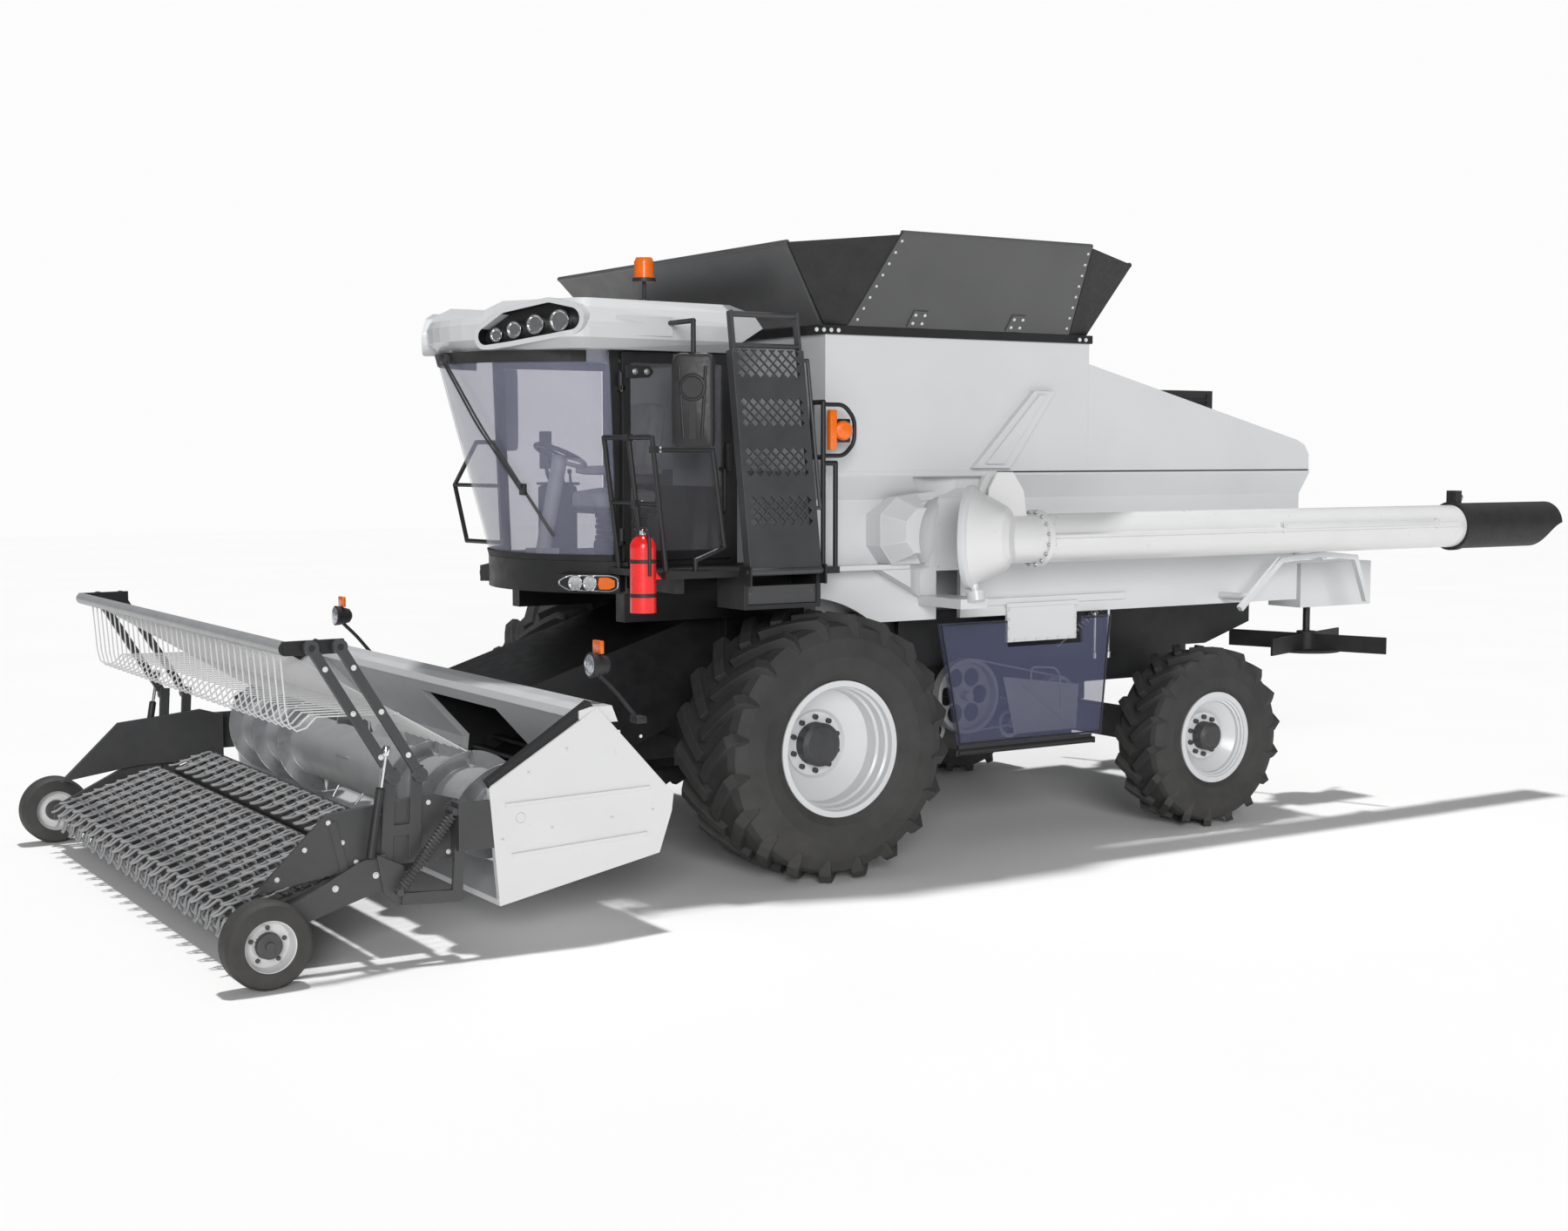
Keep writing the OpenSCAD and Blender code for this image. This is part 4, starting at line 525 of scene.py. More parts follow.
# Bolts along the tank rail, the panel's bolt rail, the flap box and the tank flaps.
FLAP_BOX_Y = 1.468
bolts = Piece("panel_bolts", "machine", "steel", "bright")
for s in SIDES:
    for x in (-0.02, -0.08, -0.14, -0.2, -2.36, -2.42):
        bolts.bolt(P(x, s*1.592, 3.745), LEFT*s, 0.010)
for i in range(14):
    bolts.bolt(P(-1.46 - i*0.115, 1.446, 1.818), LEFT, 0.009)
for x in (-1.815, -2.455):
    for z in (1.54, 1.61, 1.68, 1.75):
        bolts.bolt(P(x, FLAP_BOX_Y, z), LEFT, 0.008)
for k in range(6):
    bolts.bolt(P(-1.87 - k*0.105, FLAP_BOX_Y, 1.525), LEFT, 0.008)
for s in SIDES:
    normal, rise = flap_axes(s)
    for x0, x1 in ((-0.345, -0.495), (-2.24, -2.125)):
        for k in range(8):
            f = (k + 0.6)/8.2
            p = P(x0 + (x1 - x0)*f, BODY_Y + FLAP_OUT*f, RAIL_TOP + 0.008 + 0.597*f)
            bolts.bolt(flip(p, s) + normal*0.015, normal, 0.007)
bolts.done()

HINGE_HALF, HINGE_TALL, HINGE_THICK = Vector((0.075, 0, 0)), 0.13, 0.014
hinges = Piece("flap_hinges", "machine", "dark_paint", "flap_grey")
hinge_bolts = Piece("flap_hinge_bolts", "machine", "steel", "bright")
for s in SIDES:
    normal, rise = flap_axes(s)
    for x in (-0.86, -1.74):
        foot = P(x, s*1.556, 3.80) + normal*0.016
        top = foot + rise*HINGE_TALL
        hinges.plate([foot - HINGE_HALF, foot + HINGE_HALF, top + HINGE_HALF*0.8, top - HINGE_HALF*0.8],
                     normal*HINGE_THICK)
        for dx in (-0.04, 0.04):
            for h in (0.035, 0.10):
                at = foot + Vector((dx, 0, 0)) + rise*h + normal*HINGE_THICK
                hinge_bolts.bolt(at, normal, 0.008)
hinges.done()
hinge_bolts.done()

# Tank flaps: side, front and rear sheets that all lean outwards, each with a folded top edge.
FLAP_THICK = 0.03
FLAP_LIP_R = 0.0185
FLAP_TOP = RAIL_TOP + FLAP_RISE
END_FLAP_TOP = 4.303


def flap_sheet(piece, foot_a, foot_b, top_b, top_a):
    """A sheet centred on the plane of two feet and two tops, with a round bar along its top."""
    outer = (foot_b - foot_a).cross(top_a - foot_a).normalized()
    if outer.z > 0:
        outer = -outer
    shift = outer*FLAP_THICK/2
    piece.plate([p + shift for p in (foot_a, foot_b, top_b, top_a)], -outer*FLAP_THICK)
    piece.sweep([top_a, top_b], FLAP_LIP_R, 10)


flaps = Piece("tank_flap_sheets", "machine", "flap_grey")
for s in SIDES:
    flap_foot, flap_top = (s*BODY_Y, RAIL_TOP + 0.008), (s*(BODY_Y + FLAP_OUT), FLAP_TOP)
    flap_sheet(flaps, P(-0.30, *flap_foot), P(-2.28, *flap_foot), P(-2.15, *flap_top), P(-0.47, *flap_top))
for foot_x, top_x in ((-0.12, 0.287), (-2.49, -2.747)):
    flap_sheet(flaps, P(foot_x, 1.50, RAIL_TOP + 0.009), P(foot_x, -1.50, RAIL_TOP + 0.009),
               P(top_x, -1.70, END_FLAP_TOP), P(top_x, 1.70, END_FLAP_TOP))
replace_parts(flaps.done(), "tank_flaps")


# Wiper and dark bands on the windshield, hinge plate, handle and grab rail on the door.
def on_glass(y, z, off=0.012):
    """A point just outside the windshield at a height and a distance from the middle."""
    f = (z - CAB_FLOOR)/(CAB_TOP - CAB_FLOOR)
    cx = 0.382 + (1.04 - 0.382)*f
    r = 1.19 + (0.954 - 1.19)*f
    return P(cx + math.sqrt((r + off)**2 - y*y), y, z)


wiper = Piece("wiper", "machine", "plastic")
wiper.block(on_glass(0.0, 3.56, -0.02) - Vector((0.06, 0.05, 0.03)),
            on_glass(0.0, 3.56, 0.05) + Vector((0, 0.05, 0.03)), 0.01)
for d in (-0.02, 0.02):
    wiper.sweep([on_glass(0.02 + d, 3.54, 0.05), on_glass(0.24 + d, 3.1, 0.05),
                 on_glass(0.46 + d*0.4, 2.66, 0.04)], 0.008)
wiper.sweep([on_glass(0.30, 2.98, 0.022), on_glass(0.46, 2.66, 0.022), on_glass(0.60, 2.34, 0.022)], 0.011, 8)
wiper.block(on_glass(0.44, 2.66, 0.01) - Vector((0.01, 0.02, 0.04)),
            on_glass(0.48, 2.66, 0.045) + Vector((0, 0.01, 0.04)), 0.006)
wiper.done()

BAND_HALF, BAND_STEPS, BAND_OFF, BAND_IN = 0.895, 28, 0.010, 0.001
gasket = Piece("windshield_band", "machine", "rubber")
for z0, z1 in ((2.172, 2.215), (3.52, 3.597)):
    section = ((z0, BAND_OFF), (z1, BAND_OFF), (z1, BAND_IN), (z0, BAND_IN))
    across = [-BAND_HALF + 2*BAND_HALF*k/BAND_STEPS for k in range(BAND_STEPS + 1)]
    gasket.rings([[on_glass(y, z, off) for z, off in section] for y in across])
gasket.done()

DOOR_Y = 0.992
HINGE_PLATE = ((1.13, 3.41), (1.13, 3.50), (0.95, 3.495), (0.915, 3.46), (0.95, 3.42))
door = Piece("door_hardware", "door", "plastic")
door.plate([P(x, DOOR_Y, z) for x, z in HINGE_PLATE], LEFT*0.012)
door.block(P(0.31, 0.99, 2.78), P(0.35, 1.03, 2.98), 0.008)
door.sweep([P(0.385, y, z) for y, z in ((0.990, 2.50), (1.05, 2.50), (1.05, 2.80), (0.990, 2.80))], 0.011)
door.done()
door_bolts = Piece("door_bolts", "door", "steel")
for x in (1.06, 0.97):
    door_bolts.bolt(P(x, 1.003, 3.458), LEFT, 0.014)
door_bolts.done()

# Mirrors: moulded shells with rounded corners, two ribs and a round boss on the back.
MIRROR_TOP = P(0.87, 1.46, 3.57)
MIRROR_TURN = Matrix.Rotation(math.radians(50), 3, "Z")
MIRROR_HALF, MIRROR_TALL, MIRROR_CORNER = 0.142, 0.645, 0.062
MIRROR_SECTION = ((-0.034, 0.012), (-0.026, 0.0), (0.014, 0.0), (0.028, 0.010), (0.036, 0.028))
MIRROR_BOSS = [(0, 0.092), (0.010, 0.090), (0.014, 0.084), (0.014, 0.076), (0.006, 0.068)]


def mirror_point(x, y, z, s):
    """A point given from the mirror's top middle, along its own axes."""
    return flip(MIRROR_TOP + MIRROR_TURN @ Vector((x, y, z)), s)


def mirror_loop(x, inset, s):
    """Outline with rounded corners at a depth of the shell."""
    r = MIRROR_CORNER - inset
    loop = []
    for cy, cz, start in ((1, 0, 0), (-1, 0, 90), (-1, -1, 180), (1, -1, 270)):
        for k in range(7):
            a = math.radians(start + 15*k)
            y = cy*(MIRROR_HALF - MIRROR_CORNER) + r*math.cos(a)
            z = cz*(MIRROR_TALL - 2*MIRROR_CORNER) - MIRROR_CORNER + r*math.sin(a)
            loop.append(mirror_point(x, y, z, s))
    return loop


shells = Piece("mirror_shells", "machine", "plastic")
for s in SIDES:
    shells.rings([mirror_loop(x, inset, s) for x, inset in MIRROR_SECTION])
    for y in (-0.088, 0.088):
        rib = ((y, -0.09), (0.86*y, -0.32), (0.70*y, -0.56))
        shells.sweep([mirror_point(0.034, across, z, s) for across, z in rib], 0.010, 10)
    shells.turned(mirror_point(0.035, 0, -0.23, s), flip(MIRROR_TURN @ Vector((1, 0, 0)), s), MIRROR_BOSS, 28)
shells.done()

# Lamp bezels in the roof pods and on the cab base.
BASE_POD = Matrix.Translation(P(1.23, 0.79, 2.025)) @ Matrix.Rotation(math.radians(38), 4, "Z")
POD_LAMPS = ((-0.272, -0.024, 0.088), (-0.125, -0.008, 0.106), (0.045, 0.006, 0.124), (0.236, 0.006, 0.138))
BASE_LAMP_R = 0.046
BASE_RIM = ((-0.255, -0.012), (-0.19, -0.05), (0.13, -0.054), (0.185, -0.03), (0.185, 0.04), (0.13, 0.054),
            (-0.19, 0.05), (-0.255, 0.012), (-0.255, -0.008))
BLINKER = ((0.05, -0.042), (0.12, -0.042), (0.165, -0.022), (0.165, 0.022), (0.12, 0.042), (0.05, 0.042),
           (0.038, 0))
bezel = Piece("lamp_bezels", "machine", "chrome")
for s in SIDES:
    for y, z, d in POD_LAMPS:
        base = flip(POD @ Vector((-0.021, y, z)), s)
        axis = flip(POD.to_3x3() @ Vector((1, 0, 0)), s)
        r = d/2
        bezel.turned(base, axis, [(-0.045, r + 0.002), (0, r + 0.006), (0.008, r + 0.004),
                                  (0.008, r - 0.006), (0.001, r - 0.010)], 32)
    axis = flip(BASE_POD.to_3x3() @ Vector((1, 0, 0)), s)
    for y in (-0.13, -0.02):
        base = flip(BASE_POD @ Vector((0.115, y, 0)), s)
        r = BASE_LAMP_R
        bezel.turned(base, axis, [(-0.008, r + 0.008), (0.006, r + 0.005), (0.006, r - 0.004),
                                  (0.002, r - 0.006)], 28)
    bezel.sweep([flip(BASE_POD @ Vector((0.107, y, z)), s) for y, z in BASE_RIM], 0.006, 8)
bezel.done()
blink = Piece("base_indicators", "machine", "amber")
for s in SIDES:
    blink.plate([flip(BASE_POD @ Vector((0.106, y, z)), s) for y, z in BLINKER],
                flip(BASE_POD.to_3x3() @ Vector((0.014, 0, 0)), s), 0.004)
blink.done()

# Header lamps on bent stalks, with a marker above each.
LAMP_Y = 2.2
LAMP_AXIS = Vector((1, 0, 0.05))
LAMP_CASE = [(0, 0.03), (0.02, 0.055), (0.10, 0.075), (0.13, 0.078), (0.135, 0.070)]
stalk = Piece("header_lamp_stalks", "header", "plastic")
glow = Piece("header_lamp_lenses", "header", "lens")
for s in SIDES:
    y = s*LAMP_Y
    stalk.sweep([P(1.70, y, 1.27), P(1.86, y, 1.46), P(1.98, y, 1.575)], 0.014)
    stalk.block(P(1.665, y - 0.05, 1.25), P(1.735, y + 0.05, 1.295), 0.006)
    stalk.turned(P(1.90, y, 1.62), LAMP_AXIS, LAMP_CASE, 28)
    glow.turned(P(2.032, y, 1.6265), LAMP_AXIS, [(0, 0.069), (0.006, 0.062), (0.011, 0.030)], 28)
stalk.done()
glow.done()
tell = Piece("header_markers", "header", "amber")
for s in SIDES:
    y = s*LAMP_Y
    tell.block(P(1.96, y - 0.055, 1.695), P(1.985, y + 0.055, 1.775), 0.006)
    tell.block(P(1.965, y - 0.012, 1.68), P(1.98, y + 0.012, 1.70), 0.003)
tell.done()

# Marker lamp with its guard hoop on the rear rail, bolts on the rail clamps.
HOOP_Y = 1.735
HOOP = ((0.02, 3.235), (-0.15, 3.235), (-0.235, 3.14), (-0.235, 2.98), (-0.15, 2.89), (0.02, 2.89))
marker = Piece("marker_lamp", "machine", "amber")
marker.block(P(-0.075, 1.715, 2.93), P(-0.02, 1.765, 3.20), 0.008)
marker.turned(P(-0.135, 1.74, 3.06), Vector((0.25, 1, 0)),
              [(-0.012, 0.066), (0.02, 0.066), (0.036, 0.054), (0.044, 0.02)], 28)
marker.done()
hoop = Piece("marker_guard", "machine", "dark_paint")
hoop.sweep([P(x, HOOP_Y, z) for x, z in HOOP], 0.015)
hoop.block(P(-0.20, 1.715, 2.98), P(-0.07, 1.74, 3.14), 0.006)
hoop.done()

CLAMP_R = 0.027
clamps = Piece("rail_clamp_bolts", "machine", "steel")
for x, y, z in ((1.31, 1.42, 3.01), (1.255, 1.42, 2.58), (1.29, 1.735, 2.93)):
    for dz in (-0.012, 0.012):
        clamps.bolt(P(x + CLAMP_R, y, z + dz), Vector((1, 0, 0)), 0.006)
        clamps.bolt(P(x, y + CLAMP_R, z + dz), LEFT, 0.006)
clamps.done()

# Straps, hose and grip of the extinguisher.
BOTTLE_X, BOTTLE_Y = 1.36, 1.65
straps = Piece("extinguisher_straps", "machine", "plastic")
for z in (1.98, 2.2):
    straps.turned(P(BOTTLE_X, BOTTLE_Y, z), UP,
                  [(0, 0.0855), (0.002, 0.088), (0.024, 0.088), (0.026, 0.0855)], 36)
straps.sweep([P(BOTTLE_X, y, z) for y, z in ((BOTTLE_Y, 2.40), (1.70, 2.42), (1.735, 2.36), (1.738, 2.12))],
             0.012)
straps.block(P(1.33, 1.60, 2.41), P(1.40, 1.665, 2.43), 0.004)
straps.done()

# Dark frame bars round the clear drive shield.
SHIELD_Y, SHIELD_TOP, SHIELD_FOOT = 1.511, 1.668, 0.79
FRONT_BAR = ((-1.335, SHIELD_FOOT), (-1.157, SHIELD_TOP), (-1.76, SHIELD_TOP))
REAR_BAR = ((-2.51, SHIELD_TOP), (-2.765, SHIELD_TOP), (-2.68, SHIELD_FOOT), (-1.335, SHIELD_FOOT))
frame_bar = Piece("shield_edge", "belt_shield", "dark_paint")
for bar in (FRONT_BAR, REAR_BAR):
    frame_bar.sweep([P(x, SHIELD_Y, z) for x, z in bar], 0.008, 8, 0)
frame_bar.done()

# Spring and rods on the body side behind the shield.
SPRING_TURNS, STEPS_A_TURN, COIL_R = 14, 12, 0.024
coil = Piece("shield_spring", "machine", "steel")
coil_a, coil_b = P(-2.52, 1.30, 1.50), P(-2.98, 1.30, 1.80)
axis = (coil_b - coil_a).normalized()
u = axis.orthogonal().normalized()
v = axis.cross(u)
steps = SPRING_TURNS*STEPS_A_TURN
helix = []
for i in range(steps + 1):
    t = 2*math.pi*i/STEPS_A_TURN
    helix.append(coil_a + (coil_b - coil_a)*i/steps + (u*math.cos(t) + v*math.sin(t))*COIL_R)
coil.sweep(helix, 0.006, 6, 0)
coil.sweep([coil_a - axis*0.12, coil_a + axis*0.02], 0.010)
coil.sweep([coil_b - axis*0.02, coil_b + axis*0.06], 0.010)
coil.done()
ROD_Y = 1.25
rods = Piece("side_rods", "machine", "chrome")
for x in (-2.84, -2.98):
    rods.sweep([P(x, ROD_Y, 1.32), P(x, ROD_Y, 1.72)], 0.014)
    rods.turned(P(x, ROD_Y, 1.315), UP, [(0, 0.022), (0.05, 0.022), (0.055, 0.016)], 16)
rods.done()

# Flange bolts round the unloading tube, lamp on the spout.
FLANGE_X, FLANGE_R, FLANGE_BOLTS, FLANGE_THICK = -1.72, 0.19, 16, Vector((0.05, 0, 0))
tube = Piece("tube_flange_bolts", "unloading_auger", "steel")
for k in range(FLANGE_BOLTS):
    t = 2*math.pi*(k + 0.5)/FLANGE_BOLTS
    p = P(FLANGE_X, TUBE_Y + FLANGE_R*math.cos(t), TUBE_Z + FLANGE_R*math.sin(t))
    tube.bolt(p, Vector((-1, 0, 0)), 0.010)
    tube.bolt(p + FLANGE_THICK, Vector((1, 0, 0)), 0.010)
tube.done()
spot = Piece("spout_lamp", "unloading_auger", "lens")
spot.turned(P(-6.28, TUBE_Y, 2.535), Vector((-1, 0, -0.2)),
            [(-0.03, 0.03), (0.008, 0.034), (0.014, 0.028)], 24)
spot.done()

# Bolts of the pickup: across from the middle, size, and places along and up on that face.
PICKUP_BOLTS = (
    (2.281, 0.010, ((3.0, 0.60), (3.0, 0.86), (3.12, 0.90), (3.42, 0.86), (3.72, 0.84), (3.86, 0.70),
                    (4.02, 0.55), (3.56, 0.60), (3.64, 0.72))),
    (2.321, 0.013, ((4.12, 0.25), (3.70, 0.47), (3.46, 0.52))),
    (2.416, 0.007, ((1.80, 1.20), (1.95, 1.24), (2.3, 1.16), (2.55, 1.04), (1.72, 0.74), (2.0, 0.72),
                    (2.4, 0.70), (2.72, 0.66))),
)
pick = Piece("pickup_bolts", "header", "steel", "bright")
for s in SIDES:
    for y, r, places in PICKUP_BOLTS:
        for x, z in places:
            pick.bolt(P(x, s*y, z), LEFT*s, r)
pick.done()

# Slats and spring tines on the pickup belts.
SLAT_HALF = Vector((0, 2.07, 0))
TINES, TINE_PITCH, TINE_R = 38, 0.109, 0.0085
tines = Piece("pickup_tines", "header", "plastic", "finger_grey")
slats = Piece("pickup_slats", "header", "rubber")


def tine_row(origin, out, ahead):
    """A slat across the belt with spring tines leaning along it, in pairs that fan apart."""
    half = ahead*0.017
    slats.plate([origin + half + SLAT_HALF, origin - half + SLAT_HALF,
                 origin - half - SLAT_HALF, origin + half - SLAT_HALF], out*0.007)
    for i in range(TINES):
        apart = 1 if i % 2 else -1
        p = origin + LEFT*((i - (TINES - 1)/2)*TINE_PITCH + 0.016*apart)
        lean = LEFT*0.012*apart
        tines.sweep([p, p + out*0.026, p + out*0.036 + ahead*0.030, p + out*0.034 + ahead*0.105 + lean,
                     p + out*0.046 + ahead*0.150 + lean*2], TINE_R, 7, 3)


belt_run = (BELT_FRONT - BELT_BACK).normalized()
for k in range(8):
    tine_row(BELT_BACK.lerp(BELT_FRONT, (k + 0.1)/8) + BELT_UP*BELT_R, BELT_UP, belt_run)
for turn in (18, 62, 108):
    spin = Matrix.Rotation(math.radians(turn), 3, "Y")
    tine_row(BELT_FRONT + spin @ BELT_UP*BELT_R, spin @ BELT_UP, spin @ belt_run*0.75)
transfer_run = (TRANSFER_FRONT - TRANSFER_BACK).normalized()
for k in range(3):
    place = TRANSFER_BACK.lerp(TRANSFER_FRONT, (k + 0.3)/3) + TRANSFER_UP*TRANSFER_R
    tine_row(place, TRANSFER_UP, transfer_run)
tines.done()
slats.done()

# Facet sheets over the auger boot's front, from its wide foot to its narrow mouth.
BOOT_FOOT_Y, BOOT_MOUTH_Y = 1.606, 1.792
BOOT_FOOT = ((-0.64, 2.128), (-0.538, 2.259), (-0.538, 2.482), (-0.679, 2.603), (-0.86, 2.626))
BOOT_MOUTH = ((-0.71, 2.211), (-0.637, 2.299), (-0.637, 2.432), (-0.729, 2.524), (-0.79, 2.531))
BOOT_MIDDLE = P(-0.80, 1.70, 2.37)
facets = Piece("boot_facets", "machine", "light_paint")
foot = [P(x, BOOT_FOOT_Y, z) for x, z in BOOT_FOOT]
mouth = [P(x, BOOT_MOUTH_Y, z) for x, z in BOOT_MOUTH]
for i in range(len(foot) - 1):
    ring = [foot[i], foot[i + 1], mouth[i + 1], mouth[i]]
    out = (ring[1] - ring[0]).cross(ring[3] - ring[0]).normalized()
    middle = sum(ring, Vector())/4
    out = out if out.dot(middle - BOOT_MIDDLE) > 0 else -out
    facets.plate([q - out*0.006 for q in ring], out*0.008)
facets.done()

# Rolled rim of the auger's dish.
DISH_RIM = [(0, 0.300), (-0.004, 0.340), (0.004, 0.3640), (0.022, 0.3668), (0.044, 0.3640), (0.060, 0.346),
            (0.066, 0.330)]
rim = Piece("dish_rim", "unloading_auger", "light_paint")
dish_axis = Matrix.Rotation(math.radians(-50), 3, "Z") @ Vector((-1, 0, 0))
dish_base = P(-1.118, TUBE_Y - 0.05, 2.317)
rim.turned(dish_base + dish_axis*0.006, dish_axis, DISH_RIM, 64)
rim.done()

# Tail lamps and indicators, louvres of the air intake, latches of the right panel.
TAIL_Y = 1.28
tail = Piece("tail_lamps", "machine", "red")
tail_turn = Piece("tail_indicators", "machine", "amber")
for s in SIDES:
    y = s*TAIL_Y
    tail.block(P(-4.888, y - 0.09, 2.62), P(-4.852, y + 0.09, 2.74), 0.008)
    tail.turned(P(-4.886, y, 2.68), Vector((-1, 0, 0)), [(0, 0.045), (0.008, 0.042), (0.014, 0.02)], 24)
    tail_turn.block(P(-4.886, y - 0.085, 2.755), P(-4.852, y + 0.085, 2.83), 0.008)
tail.done()
tail_turn.done()
LOUVRE_X0, LOUVRE_X1, LOUVRE_POST = -4.61, -4.06, 0.03
louvre = Piece("intake_louvres", "machine", "plastic")
for k in range(7):
    z = 3.15 + 0.036*k
    louvre.plate([P(LOUVRE_X0, 0.619, z), P(LOUVRE_X1, 0.619, z), P(LOUVRE_X1, 0.634, z - 0.022),
                  P(LOUVRE_X0, 0.634, z - 0.022)], Vector((0, 0.0015, 0.003)), 0.0008)
for x in (LOUVRE_X0 - LOUVRE_POST, LOUVRE_X1):
    louvre.block(P(x, 0.617, 3.10), P(x + LOUVRE_POST, 0.636, 3.40), 0.003)
louvre.done()
LATCH_HALF = Vector((0.05, 0.004, 0.02))
latch = Piece("panel_latches", "machine", "plastic")
for x in (-2.9, -3.7, -4.5):
    at = P(x, -1.4415, 1.98)
    latch.block(at - LATCH_HALF, at + LATCH_HALF, 0.003)
    latch.turned(at, -LEFT, [(0.002, 0.014), (0.010, 0.014), (0.012, 0.010)], 16)
latch.done()


def upright(x0, x1, y, z0, z1):
    """Outline of a rectangle that faces sideways."""
    return [P(x0, y, z0), P(x1, y, z0), P(x1, y, z1), P(x0, y, z1)]


# Cover plate in the side panel behind the dish.
COVER_Y, COVER_THICK = 1.424, 0.014
cover = Piece("dish_cover_plate", "machine", "light_paint")
cover.plate(upright(-1.384, -1.156, COVER_Y, 2.06, 2.424), LEFT*COVER_THICK)
for x in (-1.36, -1.18):
    for z in (2.09, 2.39):
        cover.bolt(P(x, COVER_Y + COVER_THICK, z), LEFT, 0.006)
cover.done()

# Kick plate of the step box.
STEP_X0, STEP_X1, STEP_Y, KICK_THICK = 0.138, 0.682, 1.815, 0.012
kick = Piece("step_kick_plate", "machine", "grey_paint")
kick.plate(upright(STEP_X0, STEP_X1, STEP_Y, 1.912, 2.035), LEFT*KICK_THICK, 0.003)
for x in (STEP_X0 + 0.03, STEP_X1 - 0.03):
    kick.bolt(P(x, STEP_Y + KICK_THICK, 1.99), LEFT, 0.007)
kick.done()

# Angle strip with end brackets along the unloading tube, and the dark seam under the tank.
STRIP_X0, STRIP_X1, BRACKET_WIDE = -5.80, -4.00, 0.03
strip = Piece("tube_strip", "unloading_auger", "light_paint", "bright")
strip.block(P(STRIP_X0, TUBE_Y + 0.155, 2.318), P(STRIP_X1, TUBE_Y + 0.197, 2.326), 0.002)
strip.block(P(STRIP_X0, TUBE_Y + 0.189, 2.318), P(STRIP_X1, TUBE_Y + 0.197, 2.366), 0.002)
for x in (STRIP_X0, STRIP_X1 - BRACKET_WIDE):
    strip.block(P(x, TUBE_Y + 0.150, TUBE_Z), P(x + BRACKET_WIDE, TUBE_Y + 0.203, 2.38), 0.003)
    strip.bolt(P(x + BRACKET_WIDE/2, TUBE_Y + 0.203, 2.34), LEFT, 0.009)
strip.done()
seam = Piece("tank_seam", "machine", "rubber")
seam.sweep([P(x, BODY_Y - 0.001, 2.772) for x in (-1.62, -4.84)], 0.006, 8, 0)
seam.done()

# Sheet with its rods and two standoffs in the drive bay.
SHEET_Y, SHEET_ROD_Y = 1.345, 1.358
SHEET = ((-1.86, 1.24), (-1.97, 0.80), (-2.58, 0.80), (-2.60, 1.14))
SHEET_HANDLE = ((-2.12, 1.19), (-2.12, 1.30), (-2.40, 1.28), (-2.42, 0.96))
sheet = Piece("drive_bay_sheet", "machine", "light_paint", "pale_plastic")
sheet.plate([P(x, SHEET_Y, z) for x, z in SHEET], LEFT*0.006)
sheet.sweep([P(-2.05, SHEET_ROD_Y, 1.16), P(-2.50, SHEET_ROD_Y, 0.84)], 0.009, 8, 0)
sheet.sweep([P(x, SHEET_ROD_Y, z) for x, z in SHEET_HANDLE], 0.008, 8, 3)
for x in (-1.97, -2.18):
    sheet.sweep([P(x, 1.195, 1.06), P(x, SHEET_Y + 0.001, 1.06)], 0.012, 10, 0)
sheet.done()

# Bolts on the gauge wheels' discs.
NUT_RING, NUTS = 0.098, 5
for side, s in zip(("left", "right"), SIDES):
    lo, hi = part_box(f"gauge_wheel_{side}")
    mid = (lo + hi)/2
    nuts = Piece(f"gauge_nuts_{side}", f"gauge_{side}", "cast")
    wheel = NODES[f"gauge_wheel_{side}"].data
    disc_y = max(v.co.y*s for v in wheel.vertices if 0.076 < off_axis(v.co, mid) < 0.132)
    for k in range(NUTS):
        t = 2*math.pi*(k + 0.25)/NUTS
        at = Vector((mid.x + NUT_RING*math.cos(t), s*disc_y, mid.z + NUT_RING*math.sin(t)))
        nuts.bolt(at, LEFT*s, 0.009)
    nuts.done()

# Short struts beside the windguard arms, bolts on the arms.
STRUT_Y = 2.342
STRUT_AXIS = Vector((-0.12, 0, 0.72))
STRUT_BARREL = [(0, 0.016), (0.01, 0.026), (0.40, 0.026), (0.41, 0.018)]
STRUT_ROD = [(0, 0.012), (0.20, 0.012), (0.205, 0.022), (0.235, 0.026), (0.262, 0.018)]
strut = Piece("windguard_struts", "header", "chrome")
barrel = Piece("windguard_strut_barrels", "header", "plastic")
for s in SIDES:
    barrel.turned(P(3.50, s*STRUT_Y, 0.62), STRUT_AXIS, STRUT_BARREL, 20)
    strut.turned(P(3.435, s*STRUT_Y, 1.0), STRUT_AXIS, STRUT_ROD, 20)
strut.done()
barrel.done()
ARM_RUN, ARM_FOOT_Z, ARM_RISE, ARM_FACE_Y = 0.465, 1.075, 0.76, 2.349
arm_bolts = Piece("guard_arm_bolts", "guard_arms_front", "steel", "bright")
rear_bolts = Piece("guard_rear_arm_bolts", "guard_arms_rear", "steel", "bright")
for s in SIDES:
    for x, piece in ((3.355, arm_bolts), (3.19, rear_bolts)):
        for f in (0.16, 0.5, 0.84):
            piece.bolt(P(x + ARM_RUN*f, s*ARM_FACE_Y, ARM_FOOT_Z + ARM_RISE*f), LEFT*s, 0.011)
arm_bolts.done()
rear_bolts.done()


